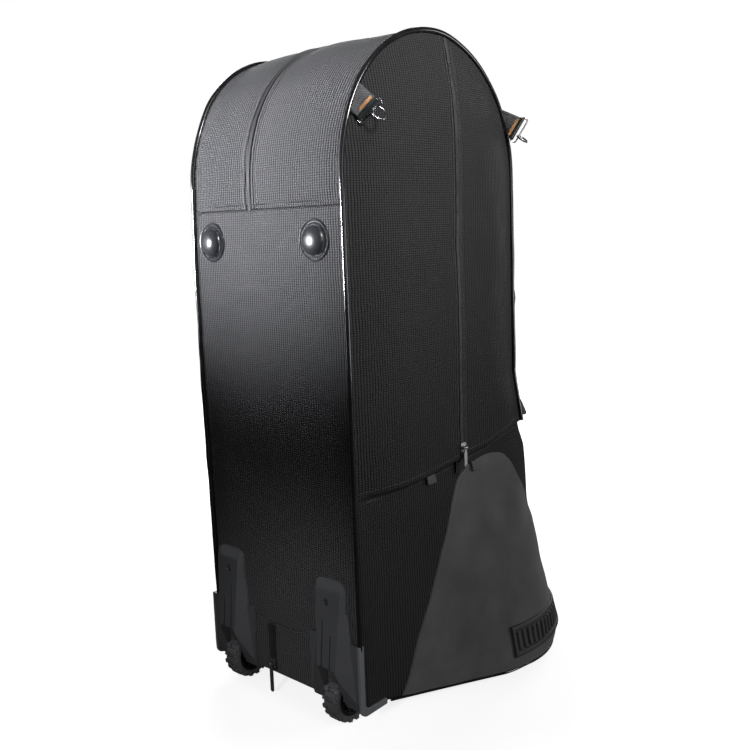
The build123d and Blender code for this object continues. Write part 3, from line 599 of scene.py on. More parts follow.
def panel_bulge(y, z, seed):
    """How far a side panel stands out from the bag's side."""
    back_edge, front_edge = arch_edges(z)
    crest = ARCH_Z + ARCH_RISE * np.sqrt(np.clip(1 - ((y - MID) / (FRONT - MID)) ** 2, 0, 1))
    from_edge = np.minimum(np.minimum(y - back_edge, front_edge - y), (crest - z) * 0.9)
    from_edge = np.clip(from_edge, 0, None)
    q = np.clip(from_edge / (105 * MM), 0, 1)
    bulge = CROWN * (1 - (1 - q) ** 2.1) * (1 - 0.25 * smooth((z - ARCH_Z) / ARCH_RISE))
    above = z - boot_seam(y)
    bulge += edge_roll(above, 9, 6.0) * smooth(q * 3)
    calm = ease(from_edge, 40) * ease(above, 25)
    bulge += calm * MM * (1.3 * waves(y, z * 0.6, 170, seed) + 0.35 * waves(y, z, 60, seed + 1))
    pull = bead(above, 26, 15) * ease(y - BACK - 250 * MM, 60)
    return bulge - 2.4 * MM * pull * ease(front_edge - y, 25)


def panel_grid(y_low, y_high, rows_low, rows_arch, columns):
    """Points of a side panel between two upright edges, as arrays of y and z."""
    u = np.linspace(0, 1, columns)

    def across(z):
        low, high = arch_edges(z)
        low, high = max(low, y_low), min(high, y_high)
        return low + max(high - low, 0.02 * MM) * u

    y = across(0)
    ys = [y] * rows_low
    zs = [boot_seam(y) + (ARCH_Z - boot_seam(y)) * value for value in np.linspace(0, 1, rows_low)]
    rise = ARCH_RISE
    if y_low > MID or y_high < MID:
        near = y_low if y_low > MID else y_high
        rise = ARCH_RISE * math.sqrt(1 - ((near - MID) / (FRONT - MID)) ** 2)
    for turn in np.linspace(0, np.pi / 2, rows_arch)[1:]:
        z = ARCH_Z + rise * np.sin(turn)
        ys.append(across(z))
        zs.append(np.full(columns, z))
    return np.array(ys), np.array(zs)


def side_piece(name, sign, y_low, y_high, columns, seed, thick, zip_edge=None):
    """A crowned side panel between two upright edges, one of which may dip towards a zip."""
    y, z = panel_grid(y_low, y_high, 76, 40, columns)
    bulge = panel_bulge(y, z, seed)
    if zip_edge is not None:
        gap = np.abs(y - zip_edge)
        bulge += edge_roll(gap, 3.5, 2.6) + 1.0 * MM * bead(gap, 5, 3.5)
        bulge -= 0.7 * MM * bead(gap, 10.5, 1.3)
    outer = np.stack([sign * (SIDE + bulge), y, z], axis=-1)
    inner = np.stack([np.full_like(y, sign * (SIDE - thick)), y, z], axis=-1)
    piece = padded_piece(name, outer, inner, np.stack([y, z], axis=-1), PANEL, LINING)
    return piece


POCKET_GAP = 2.8 * MM
POCKET_THICK = 2 * MM
POCKET_SEED = 21
pocket_rear = side_piece("pocket_rear_panel", 1, BACK, POCKET_Y - POCKET_GAP, 60, POCKET_SEED,
                         POCKET_THICK, POCKET_Y - POCKET_GAP)
pocket_front = side_piece("pocket_front_panel", 1, POCKET_Y + POCKET_GAP, FRONT, 46, POCKET_SEED,
                          POCKET_THICK, POCKET_Y + POCKET_GAP)
side_left = side_piece("side_panel_left", -1, BACK, FRONT, 100, 31, WALL)
place(pocket_rear, "bag", "panel_nylon", "pocket_rear")
place(pocket_front, "bag", "panel_nylon", "pocket_front")
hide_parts("side_panel_left_flap", "side_panel_left_lower")

# The inner wall behind the pocket
y, z = panel_grid(BACK + WALL, FRONT - WALL, 40, 24, 50)
faces_of_wall = [np.stack([np.full_like(y, x), y, z], axis=-1)
                 for x in (SIDE - 2.5 * MM, SIDE - WALL + 1 * MM)]
wall = padded_piece("side_wall_right", *faces_of_wall, np.stack([y, z], axis=-1), LINING, LINING)
place(wall, "bag", "panel_nylon", "side_panel_right", fill=0.8)

# ---- boot round the bell


def base_z(y):
    """Height of the base under a point: sloping up towards the wheels, flat under the bell."""
    return np.clip(BASE_LIFT * (1 - (y - BACK) / BASE_RUN), 0, None)


# Along half of the boot's outline: where the rear corner ends, and where the turn starts
CORNER_END = 0.06
STRAIGHT_END = 0.3
FLARE_BELLY = 0.035


def boot_xy(q, level):
    """The boot's outline at a height: q is 0 at the rear right corner and 1 at the rear left."""
    q, level = np.broadcast_arrays(np.asarray(q, float), np.asarray(level, float))
    rise = 1 - level / BOOT_TOP
    flare = TOP_FLARE + (1 - TOP_FLARE) * rise
    above = np.clip((level - BOOT_TOP) / (SEAM_FRONT - BOOT_TOP), 0, 1)
    flare = np.where(level > BOOT_TOP, TOP_FLARE * (1 - smooth(above)), flare)
    flare = flare - FLARE_BELLY * np.sin(np.pi * np.clip(rise, 0, 1))
    power = 8 + 22 * ease(level - 250 * MM, 150)
    half = np.where(q > 0.5, 1 - q, q) * 2
    angle = np.clip((half - STRAIGHT_END) / (1 - STRAIGHT_END), 0, 1) * np.pi / 2
    depth = FRONT - PIVOT_Y
    box = ((np.cos(angle) / SIDE) ** power + (np.sin(angle) / depth) ** power) ** (-1 / power)
    offset = BELL_Y - PIVOT_Y
    bell = offset * np.sin(angle) + np.sqrt(BELL_RADIUS**2 - (offset * np.cos(angle)) ** 2)
    reach = (1 - flare) * box + flare * bell
    x, y = reach * np.cos(angle), PIVOT_Y + reach * np.sin(angle)
    side_x = (1 - flare) * SIDE + flare * math.sqrt(BELL_RADIUS**2 - offset**2)
    t = np.clip((half - CORNER_END) / (STRAIGHT_END - CORNER_END), 0, 1)
    straight = half < STRAIGHT_END
    x = np.where(straight, SIDE + (side_x - SIDE) * t, x)
    y = np.where(straight, BOOT_STRAIGHT + (PIVOT_Y - BOOT_STRAIGHT) * t, y)
    corner = half < CORNER_END
    x = np.where(corner, SIDE, x)
    y = np.where(corner, BACK + (BOOT_STRAIGHT - BACK) * half / CORNER_END, y)
    return np.where(q > 0.5, -x, x), y


def boot_points(q, t, lift, level=None):
    """Points lifted off the boot at t, 0 at the base and 1 at the seam, or at a given level."""
    if level is None:
        level = np.full(np.broadcast_shapes(np.shape(q), np.shape(t)), 0.1)
        for _ in range(4):
            _, y = boot_xy(q, level)
            level = base_z(y) + (boot_seam(y) - base_z(y)) * t
    x, y = boot_xy(q, level)
    tuck = 13 * MM * (1 - np.clip(level / (42 * MM), 0, 1)) ** 2 * ease(y - PIVOT_Y, 60)
    step = 1e-3
    ahead_x, ahead_y = boot_xy(np.clip(q + step, 0, 1), level)
    behind_x, behind_y = boot_xy(np.clip(q - step, 0, 1), level)
    up_x, up_y = boot_xy(q, level + 2 * MM)
    along = np.stack([ahead_x - behind_x, ahead_y - behind_y, np.zeros_like(x)], axis=-1)
    up = np.stack([up_x - x, up_y - y, np.full_like(x, 2 * MM)], axis=-1)
    normal = np.cross(along, up)
    normal /= np.linalg.norm(normal, axis=-1, keepdims=True)
    points = np.stack([x, y, level], axis=-1) + normal * np.asarray(lift)[..., None]
    points[..., :2] -= normal[..., :2] * tuck[..., None]
    points[..., 2] = np.maximum(points[..., 2], 0.4 * MM)
    return points


def boot_q(y_wanted, level):
    """The q on the right side at which the boot's outline has a given y at a height."""
    q = np.linspace(0, 0.5, 400)
    _, y = boot_xy(q, level)
    return float(np.interp(y_wanted, y, q))


BOOT_GIRTH = 1.6  # round the boot, in m
BOOT_TALL = 0.34  # from the base to the seam, in m
BOOT_SEED = 41


def boot_dents(q, t):
    """Soft hollows and folds where the boot's cloth isn't pulled tight."""
    calm = smooth(t / 0.12) * smooth((1 - t) / 0.1) * smooth(np.minimum(q, 1 - q) / 0.03)
    along = q * BOOT_GIRTH
    folds = waves(along, t * 0.16, 150, BOOT_SEED)
    folds = folds + waves(along, t * 0.35, 95, 57) * smooth((0.9 - t) / 0.2)
    return calm * MM * (folds + 0.4 * waves(along, t * 0.35, 60, BOOT_SEED + 1))


q_values = np.concatenate([np.linspace(0, 0.03, 7)[:-1], np.linspace(0.03, 0.15, 25)[:-1],
                           np.linspace(0.15, 0.85, 190), np.linspace(0.85, 0.97, 25)[1:],
                           np.linspace(0.97, 1, 7)[1:]])
t_values = np.concatenate([[0, 0.004, 0.01], np.linspace(0.016, 0.984, 80), [0.99, 0.996, 1]])
T, Q = np.meshgrid(t_values, q_values, indexing="ij")
boot_lift = boot_dents(Q, T) + edge_roll(T * BOOT_TALL, 6, 2)
boot_lift += edge_roll((1 - T) * BOOT_TALL, 6, 3)
outer = boot_points(Q, T, boot_lift)
inner = boot_points(Q, T, np.full_like(Q, -WALL + 1.5 * MM))
inner[..., 1] = np.maximum(inner[..., 1], BACK + 1 * MM)
boot_uv = np.stack([Q * BOOT_GIRTH, outer[..., 2]], axis=-1)
boot = padded_piece("boot_cloth", outer, inner, boot_uv, PANEL, LINING)
place(boot, "bag", "panel_nylon", "boot_side_right", "boot_side_left", "boot_front", "front_panel",
      fill=0.6)


def boot_share(y, level):
    """How far up the boot a height is: 0 at the base, 1 at the seam."""
    return (level - base_z(y)) / (boot_seam(y) - base_z(y))


def boot_cover(name, mirror_x, q, level, lifts, uv, cloth, backing):
    """A piece that lies on the boot's right side, or its mirror image on the left."""
    sheets = [boot_points(q, 0, lift, level) for lift in lifts]
    if mirror_x:
        for sheet in sheets:
            sheet[..., 0] *= -1
    return padded_piece(name, *sheets, uv, cloth, backing), sheets[0]


# The napped patches over the bell: height in m, then the rear and front edges in mm from the back
PATCH_SHAPE = np.array([
    (0.000, 62, 522), (0.034, 78, 504), (0.055, 89, 492), (0.112, 109, 460), (0.180, 144, 426),
    (0.250, 176, 386), (0.276, 187, 370), (0.308, 200, 354), (0.337, 217, 338), (0.350, 237, 327),
    (0.357, 256, 319), (0.3605, 272, 308), (0.362, 283, 297)])
PATCH_TOP = 0.362
PATCH_TURN = 0.30  # the rows close up above this height


def patch_piece(name, mirror_x, *nodes):
    """A bell-shaped patch that lies on the boot with its edges turned under."""
    rounded = np.sin(np.linspace(0, np.pi / 2, 26)[1:])
    shape_z = np.concatenate([np.linspace(0, PATCH_TURN, 60),
                              PATCH_TURN + (PATCH_TOP - PATCH_TURN) * rounded])
    ends = np.array([[boot_q(BACK + np.interp(z, PATCH_SHAPE[:, 0], PATCH_SHAPE[:, k]) * MM, z)
                      for k in (1, 2)] for z in shape_z])
    for _ in range(3):
        ends[1:-1] = (ends[:-2] + 2 * ends[1:-1] + ends[2:]) / 4
    u = np.concatenate([[0, 0.004, 0.01], np.linspace(0.02, 0.98, 110), [0.99, 0.996, 1]])
    U, Z = np.meshgrid(u, shape_z, indexing="xy")
    run = ends[:, 1:] - ends[:, :1]
    Q = ends[:, :1] + run * U
    _, y_here = boot_xy(Q, Z)
    level = np.maximum(Z, base_z(y_here))
    T = boot_share(y_here, level)
    near = np.minimum(np.minimum(U, 1 - U) * run * BOOT_GIRTH, shape_z[-1] - Z)
    lift = boot_dents(1 - Q if mirror_x else Q, T) + edge_roll(T * BOOT_TALL, 6, 2)
    lift += 1.9 * MM + edge_roll(near, 2.5, 1.3) - 0.5 * MM * bead(near, 7, 2.2)
    uv = np.stack([Q * BOOT_GIRTH, level], axis=-1)
    piece, out = boot_cover(name, mirror_x, Q, level, (lift, lift - 1.6 * MM), uv, PATCH, LINING)
    place(piece, "bag", "patch_fabric", *nodes, fill=0.5)
    return piece, np.concatenate([out[:, 0], out[-1, 1:-1], out[::-1, -1]])


patch_right, patch_edge_right = patch_piece("cone_patch_right", False, "cone_panel_right")
patch_left, patch_edge_left = patch_piece("cone_patch_left", True, "cone_panel_left")

# ---- scuff guards

guard_low, guard_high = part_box("scuff_guard_right")
GUARD_RIBS = 20
GUARD_LONG = 0.30
GUARD_BORDER = 9 * MM


def guard_piece(name, mirror_x, *nodes):
    """A moulded rubber guard: a raised border round a row of upright ribs."""
    q0 = boot_q(guard_low.y + 2 * MM, guard_low.z)
    q1 = boot_q(guard_high.y - 14 * MM, guard_low.z)
    tall = guard_high.z - guard_low.z
    U, V = np.meshgrid(np.linspace(0, 1, 420), np.linspace(0, 1, 44), indexing="xy")
    a, b = U * GUARD_LONG, V * tall
    from_edge = np.minimum(np.minimum(a, GUARD_LONG - a), np.minimum(b, tall - b))
    border = ease(GUARD_BORDER - from_edge, 1.6)
    pitch = (GUARD_LONG - 2 * GUARD_BORDER) / GUARD_RIBS
    wave = 0.5 - 0.5 * np.cos(2 * np.pi * (a - GUARD_BORDER) / pitch)
    rib = smooth((wave - 0.34) / 0.34) * ease(from_edge - 9.6 * MM, 2.4)
    lift = 1.2 * MM + 3.2 * MM * np.maximum(border, rib * 0.95) + edge_roll(from_edge, 2, 2.2)
    Q = q0 + (q1 - q0) * U
    level = guard_low.z + b
    T = boot_share(boot_xy(Q, level)[1], level)
    lift += np.clip(boot_dents(1 - Q if mirror_x else Q, T), 0, None) + 1.8 * MM
    lifts = (lift, np.full_like(Q, -1 * MM))
    piece, _ = boot_cover(name, mirror_x, Q, level, lifts, np.stack([a, b], axis=-1), RUBBER, RUBBER)
    place(piece, "bag", "ribbed_rubber", *nodes)


guard_piece("scuff_guard_right_rubber", False, "scuff_guard_right")
guard_piece("scuff_guard_left_rubber", True, "scuff_guard_left")

# ---- piping


def piping_line(sign, z_back, z_front):
    """The line of the piping round one side, just outside the edge."""
    line, normal = outline(z_back, z_front, 3 * MM)
    sway = 0.35 * MM * waves(np.arange(len(line)) * 3 * MM, 0, 70, 5 + sign)
    y = line[:, 0] + normal[:, 0] * (0.9 * MM + sway)
    z = line[:, 1] + normal[:, 1] * (0.9 * MM + sway)
    return np.stack([np.full(len(line), sign * (SIDE + 1.2 * MM)) + sign * sway, y, z], axis=1)


rail_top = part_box("corner_rail_right")[1].z
right_piping = tube("piping_right_cord", piping_line(1, rail_top - 6 * MM, SEAM_FRONT), PIPE, PIPING)
place(right_piping, "bag", "piping", "piping_right")
whole_left = piping_line(-1, rail_top - 6 * MM, SEAM_FRONT + 1 * MM)
split = int(np.argmax(whole_left[:, 2] > SEAM_BACK))
left_lower = tube("piping_left_lower_cord", whole_left[:split + 1], PIPE, PIPING)
left_flap = tube("piping_left_flap_cord", whole_left[split:], PIPE, PIPING)
place(left_lower, "bag", "piping", "piping_left_lower")
place(left_flap, "flap", "piping", "piping_left_flap")

q_rim = np.linspace(0.035, 0.965, 420)
rim_line = boot_points(q_rim, np.zeros_like(q_rim), np.full_like(q_rim, 0.3 * MM))
rim_line[:, 2] = np.maximum(rim_line[:, 2], 2.3 * MM)
place(tube("base_piping", rim_line, 2.2 * MM, PIPING), "bag", "piping")

# ---- stitching

HEXAGON = [(math.cos(a) * 0.5, math.sin(a) * 0.5)
           for a in np.linspace(0, 2 * np.pi, 6, endpoint=False)]
STITCH = np.array([(-0.5, 0, 0)] + [(x, a, b) for x in (-0.34, 0.34) for a, b in HEXAGON]
                  + [(0.5, 0, 0)])
STITCH_FACES = [(0, 1 + (j + 1) % 6, 1 + j) for j in range(6)]
STITCH_FACES += [(1 + j, 1 + (j + 1) % 6, 7 + (j + 1) % 6, 7 + j) for j in range(6)]
STITCH_FACES += [(7 + j, 7 + (j + 1) % 6, 13) for j in range(6)]


def unit(vector):
    """The vector at a length of 1."""
    return vector / max(np.linalg.norm(vector), 1e-9)


def stitches(name, runs, body, pitch=4.2 * MM, long=3.2 * MM, thick=0.9 * MM):
    """Rows of thread along lines that lie on the cloth. Each run is (points, normals)."""
    places = []
    for points, normals in runs:
        both = spaced(np.concatenate([points, normals], axis=1), pitch)
        line, up = both[:, :3], both[:, 3:]
        for middle, direction, normal in zip(line, np.gradient(line, axis=0), up):
            direction = unit(direction)
            normal = unit(normal - direction * normal.dot(direction))
            side = np.cross(normal, direction)
            axes = np.array([direction * long, side * thick, normal * thick * 0.8])
            places.append((middle - normal * 0.1 * MM, axes))
    place(repeat(name, STITCH, STITCH_FACES, places, THREAD), body, "zip_tape")


def run_on(tree, points, directions):
    """A line projected on a surface, with its normals, by one direction or one for each point."""
    ways = np.broadcast_to(directions, (len(points), 3))
    found = [onto(tree, point, way) for point, way in zip(points, ways)]
    return np.array([f[0][:] for f in found]), np.array([f[1][:] for f in found])


def at_x(x, line):
    """Pairs of y and z as points in space at one x."""
    return np.column_stack([np.full(len(line), x), line])


def gusset_stitching(name, piece, pipe_edge, from_zip, toward, body):
    """Topstitching beside the zip and a row beside the piping on one gusset."""
    line, normal = outline(SEAM_BACK + 4 * MM, SEAM_FRONT + 4 * MM, 6 * MM)
    xs = [ZIP_X + toward * d * MM for d in from_zip] + [pipe_edge - toward * 7 * MM]
    tree = surface_of(piece)
    stitches(name, [run_on(tree, at_x(x, line), at_x(0, -normal)) for x in xs], body)


gusset_stitching("gusset_right_stitching", gusset_right, SIDE, (7.2, 16.2), 1, "bag")
gusset_stitching("gusset_left_stitching", gusset_left, -SIDE, (7.2, 11.2), -1, "flap")

across = np.linspace(-SIDE + 6 * MM, SIDE - 6 * MM, 80)
upright = np.linspace(150 * MM, SEAM_BACK - 6 * MM, 150)
back_tree, kick_tree = surface_of(back_cloth), surface_of(kick_cloth)
back_lines = [(back_tree, [(x, BACK, SEAM_BACK - 5.5 * MM) for x in across]),
              (back_tree, [(x, BACK, kick_seam(x) + 5 * MM) for x in across]),
              (kick_tree, [(x, BACK, kick_seam(x) - 5 * MM) for x in across])]
back_lines += [(back_tree, [(sign * (SIDE - 7 * MM), BACK, z) for z in upright]) for sign in (-1, 1)]
stitches("back_stitching", [run_on(tree, line, (0, 1, 0)) for tree, line in back_lines], "bag")


def side_run(tree, points, sign):
    """A line on a side, projected across the bag. Points are (y, z)."""
    return run_on(tree, [(sign * SIDE, y, z) for y, z in points], (-sign, 0, 0))


pocket_z = np.linspace(BOOT_TOP + 6 * MM, HEIGHT - 14 * MM, 160)
rear_tree, front_tree, boot_tree = (surface_of(p) for p in (pocket_rear, pocket_front, boot))
low_rear = np.linspace(BACK + 8 * MM, POCKET_Y - 6 * MM, 60)
low_front = np.linspace(POCKET_Y + 6 * MM, FRONT - 6 * MM, 50)
stitches("pocket_stitching", [
    side_run(rear_tree, [(POCKET_Y - 7.5 * MM, z) for z in pocket_z], 1),
    side_run(rear_tree, [(y, boot_seam(y) + 11 * MM) for y in low_rear], 1),
    side_run(front_tree, [(POCKET_Y + 7.5 * MM, z) for z in pocket_z - 3 * MM], 1),
    side_run(front_tree, [(y, boot_seam(y) + 11 * MM) for y in low_front], 1)], "bag")
seam_line = [(y, boot_seam(y) - 7 * MM) for y in np.linspace(BACK + 8 * MM, FRONT - 12 * MM, 90)]
stitches("boot_seam_stitching", [side_run(boot_tree, seam_line, s) for s in (-1, 1)], "bag")


def patch_stitching(name, piece, edge):
    """Two rows of topstitching inside a patch's edge."""
    inward = np.stack([np.zeros(len(edge)), BACK + 290 * MM - edge[:, 1],
                       0.45 * (150 * MM - edge[:, 2])], axis=1)
    inward /= np.linalg.norm(inward, axis=1, keepdims=True)
    tree = surface_of(piece)
    runs = []
    for inset in (4 * MM, 9.5 * MM):
        points = edge + inward * inset
        found = [tree.find_nearest(Vector(p)) for p in points[points[:, 2] > 14 * MM]]
        runs.append((np.array([f[0][:] for f in found]), np.array([f[1][:] for f in found])))
    stitches(name, runs, "bag", 4.6 * MM)


patch_stitching("patch_right_stitching", patch_right, patch_edge_right)
patch_stitching("patch_left_stitching", patch_left, patch_edge_left)

# ---- zips

OCTAGON = ((-0.5, -0.25), (-0.25, -0.5), (0.25, -0.5), (0.5, -0.25),
           (0.5, 0.25), (0.25, 0.5), (-0.25, 0.5), (-0.5, 0.25))
TOOTH = [(x, y, z) for z in (-0.5, 0.5) for x, y in OCTAGON]
TOOTH_FACES = ring_faces(2, 8)


def zip_teeth(name, line, normals, side, body, shift=0.0):
    """One row of coil teeth, on the side of a zip's middle line where its tape is."""
    both = spaced(np.concatenate([swell(line), normals, side], axis=1), 2.9 * MM)
    places = []
    for middle, normal, out in zip(both[:, :3], both[:, 3:6], both[:, 6:]):
        ahead = np.cross(normal, out)
        ahead /= np.linalg.norm(ahead)
        axes = np.array([out * 3.8 * MM, normal * 1.9 * MM, ahead * 1.7 * MM])
        places.append((middle + out * 1.4 * MM + normal * 0.8 * MM + ahead * shift, axes))
    place(repeat(name, TOOTH, TOOTH_FACES, places, TEETH), body, "zip_tape")


def tape_strip(name, line, normals, side, body, width, *nodes):
    """One half of a zip's tape, a thin strip under the teeth."""
    steps = np.linspace(0.25 * MM, width, 6)
    outer = line[:, None] + side[:, None] * steps[None, :, None]
    inner = outer - normals[:, None] * 0.7 * MM
    along = np.concatenate([[0], np.cumsum(np.linalg.norm(np.diff(line, axis=0), axis=1))])
    uv = np.stack(np.broadcast_arrays(steps[None, :], along[:, None]), axis=-1)
    place(padded_piece(name, outer, inner, uv, TAPE, TAPE), body, "zip_tape", *nodes)


def whole_zip(name, line, normals, words, side, width, shift, *nodes):
    """Both halves of a zip that stay on the bag, a tape and a row of teeth each."""
    for sign, word in zip((1, -1), words):
        way = np.tile(np.multiply(sign, side), (len(line), 1))
        tape_strip(f"{name}_tape_{word}", line, normals, way, "bag", width, *nodes)
        zip_teeth(f"{name}_teeth_{word}", line, normals, way, "bag", shift * (1 + sign))


main_line, main_normal = outline(SEAM_BACK + 1 * MM, SEAM_FRONT + 1 * MM, 3 * MM)
main_points = at_x(ZIP_X, main_line - main_normal * 0.9 * MM)
main_normals = at_x(0, main_normal)
right_way = np.tile([1.0, 0, 0], (len(main_line), 1))
MAIN_WIDTH = 9 * MM
tape_strip("main_zip_tape_right_cloth", main_points, main_normals, right_way, "bag", MAIN_WIDTH,
           "main_zip_tape_right")
tape_strip("main_zip_tape_left_cloth", main_points, main_normals, -right_way, "flap", MAIN_WIDTH,
           "main_zip_tape_left")
zip_teeth("main_zip_teeth_right", main_points, main_normals, right_way, "bag")
zip_teeth("main_zip_teeth_left", main_points, main_normals, -right_way, "flap", 0.85 * MM)

# The end of the main zip, below the flap, where its slider is parked
end_z = np.linspace(SEAM_FRONT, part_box("main_zip_tape_right")[0].z, 12)
end_line = at_x(ZIP_X, np.stack([np.full(12, FRONT + 1.1 * MM), end_z], axis=1))
whole_zip("main_zip_end", end_line, np.tile([0, 1.0, 0], (12, 1)), ("right", "left"), (1.0, 0, 0),
          11 * MM, 0)

pocket_path = np.linspace(BOOT_TOP - 4 * MM, HEIGHT - 5 * MM, 240)
pocket_y = np.full_like(pocket_path, POCKET_Y)
pocket_x = SIDE + panel_bulge(pocket_y, pocket_path, POCKET_SEED) - 0.6 * MM
pocket_line = np.stack([pocket_x, pocket_y, pocket_path], axis=1)
pocket_ahead = np.gradient(pocket_line, axis=0)
pocket_ahead /= np.linalg.norm(pocket_ahead, axis=1, keepdims=True)
pocket_normals = np.cross((0, 1.0, 0), pocket_ahead)
whole_zip("pocket_zip", pocket_line, pocket_normals, ("front", "rear"), (0, 1.0, 0), 8 * MM,
          0.42 * MM, "pocket_zip_tape")

kick_z = np.linspace(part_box("kick_zip_tape")[0].z, kick_seam(KICK_X) - 2 * MM, 30)
kick_line = at_x(KICK_X, np.stack([np.full(30, BACK - 3.2 * MM), kick_z], axis=1))
whole_zip("kick_zip", kick_line, np.tile([0, -1.0, 0], (30, 1)), ("right", "left"), (1.0, 0, 0),
          8 * MM, 0.42 * MM, "kick_zip_tape")

# ---- round feet

rim_low, rim_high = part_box("foot_rims")
FOOT_RADIUS = (rim_high.z - rim_low.z) / 2
FOOT_X = rim_high.x - FOOT_RADIUS
FOOT_Z = (rim_high.z + rim_low.z) / 2
# In mm: how far in from the foot's edge the rim is at each height off the back
RIM_SHAPE = [(0, -2), (0, 1.2), (0.5, 2.3), (1.4, 2.9), (2.5, 2.7), (3.3, 1.9), (3.9, 1.0),
             (4.6, 0.9), (5.2, 1.5), (6.0, 1.9), (6.8, 1.5), (7.3, 0.9), (8.6, 0.7)]
rim_profile = [(FOOT_RADIUS - a * MM, b * MM) for a, b in RIM_SHAPE] + [(2 * MM, 0.7 * MM)]
dome_profile = [(22.4 * MM, 0.6 * MM), (22.4 * MM, 1.6 * MM)]
dome_profile += [(22.0 * MM * math.cos(a) ** 0.82, 1.8 * MM + 12.2 * MM * math.sin(a))
                 for a in np.linspace(0.05, 1.5, 22)]
dome_profile += [(0.3 * MM, 14.02 * MM)]
for sign, word in ((1, "right"), (-1, "left")):
    for part, profile in (("rim", rim_profile), ("dome", dome_profile)):
        foot = lathe(f"foot_{part}_{word}", profile, (sign * FOOT_X - 5 * MM, BACK - 1 * MM, FOOT_Z),
                     (0, -1, 0), DOME)
        place(foot, "bag", "foot_plastic", f"foot_{part}s")

# ---- strap tabs, loops and folds of webbing

TAB_HEIGHTS = {"rear": 898 * MM, "front": 884 * MM}
TAB_WIRES = {"rear": (0.55, 0.47, 0.69), "front": (0.375, 0.375, 0.85)}
TAB_REACH = 23 * MM
TAB_HALF = 18 * MM


def arch_edge(z, end):
    """A point just outside the right side's outline, on the arch."""
    run = math.sqrt(1 - ((z - ARCH_Z) / ARCH_RISE) ** 2) * (FRONT - MID)
    return np.array([SIDE + 3.4 * MM, MID + (run if end == "front" else -run), z])


LABEL_LONG = 15
LABEL_WIDE = 2.1
SLEEVE_AT = (0, 12, 17, 17.8, 18.2, 18.4)
SLEEVE_RADII = (3.9, 3.9, 3.9, 3.7, 3.3, 2.4)


def strap_tab(end):
    """A webbing tab in the piping, its glossy sleeve for the wire frame and its woven stripe."""
    wire = np.array(Vector(TAB_WIRES[end]).normalized())
    out = wire * wire[2] - (0, 0, 1)
    out /= np.linalg.norm(out)
    face = np.cross(out, wire)
    height = TAB_HEIGHTS[end]
    origin = arch_edge(height, end) + (0.8 * MM, 0, 0) + out * TAB_REACH
    U, V = np.meshgrid(np.linspace(-1, 1, 34), np.linspace(0, 1, 22), indexing="xy")
    roots = np.array([arch_edge(height + TAB_HALF * k, end) for k in U[0]])
    ends = origin + wire * (U * TAB_HALF)[..., None]
    flat = roots[None] + (ends - roots[None]) * V[..., None]
    in_from_edge = (1 - np.abs(U)) * TAB_HALF
    lift = 1.3 * MM + 0.9 * MM * np.sin(np.pi * V) + edge_roll(in_from_edge, 1.6, 1.0)
    lift += 0.5 * MM * bead(in_from_edge, 3.4, 1.2) - 0.4 * MM * (np.abs(V - 0.55) < 0.03)
    uv = np.stack([U * TAB_HALF, V * TAB_REACH], axis=-1)
    tab = padded_piece(f"strap_tab_{end}_webbing", flat + face * lift[..., None],
                       flat - face * 1.3 * MM, uv, WEBBING, WEBBING, full=False)
    place(tab, "bag", "webbing", f"strap_tab_{end}")
    tip = np.array([17.8, 18.2, 18.4])
    steps = np.concatenate([-tip[::-1], np.linspace(-17, 17, 30), tip])
    radii = np.interp(np.abs(steps), SLEEVE_AT, SLEEVE_RADII) * MM
    line = origin + (steps * MM)[:, None] * wire
    sleeve = tube(f"strap_sleeve_{end}", line, radii, SLEEVE, 28)
    place(sleeve, "bag", "webbing", f"strap_tab_{end}")
    A, B = np.meshgrid(np.linspace(-LABEL_LONG, LABEL_LONG, 40),
                       np.linspace(-LABEL_WIDE, LABEL_WIDE, 8), indexing="xy")
    edge = np.minimum(LABEL_LONG - np.abs(A), LABEL_WIDE - np.abs(B)) * MM
    rise = 0.5 * MM + edge_roll(edge, 0.5, 0.4)
    stripe = origin - out * 6.3 * MM + face * 2.35 * MM
    stripe = stripe + (A * MM)[..., None] * wire + (B * MM)[..., None] * out
    label = padded_piece(f"strap_label_{end}", stripe + face * rise[..., None],
                         stripe - face * 0.3 * MM, np.stack([A, B], axis=-1) * MM,
                         LABEL, LABEL, full=False)
    place(label, "bag", "woven_label", "strap_labels")
    along = np.linspace(-LABEL_LONG, LABEL_LONG, 12)[:, None] * wire
    rows = [(origin + (along - out * d + face * 2.3) * MM, np.tile(face, (12, 1)))
            for d in (10.5, 16.5)]
    stitches(f"strap_tab_{end}_stitching", rows, "bag", 2.6 * MM, 1.9 * MM, 0.6 * MM)


strap_tab("rear")
strap_tab("front")


def strap_loop(name, y_middle, z_top):
    """A small loop of webbing that hangs from the boot's top seam."""
    turn = np.linspace(0.06, 2 * np.pi - 0.06, 40)
    foot, _ = onto(boot_tree, (SIDE, y_middle, z_top - 10 * MM), (-1, 0, 0))
    x = foot.x + (1.4 + 2.08 * (1 - np.cos(turn)) + 1.7 * np.sin(turn)) * MM
    z = z_top - 7.6 * MM * (1 - np.cos(turn))
    width = np.linspace(-9.5, 9.5, 16) * MM
    P, W = np.meshgrid(np.arange(40), width, indexing="ij")
    outer = np.stack([x[P], y_middle + W, z[P]], axis=-1)
    tangent = np.gradient(outer, axis=0)
    tangent /= np.linalg.norm(tangent, axis=-1, keepdims=True)
    inner = outer - np.cross(tangent, (0, 1, 0)) * 1.3 * MM
    uv = np.stack([W, P * 0.6 * MM], axis=-1)
    loop = padded_piece(name, outer, inner, uv, WEBBING, WEBBING, full=False)
    place(loop, "bag", "webbing", "lower_strap_loops")


strap_loop("strap_loop_rear", BACK + 156 * MM, 357 * MM)
strap_loop("strap_loop_front", BACK + 258 * MM, 358 * MM)


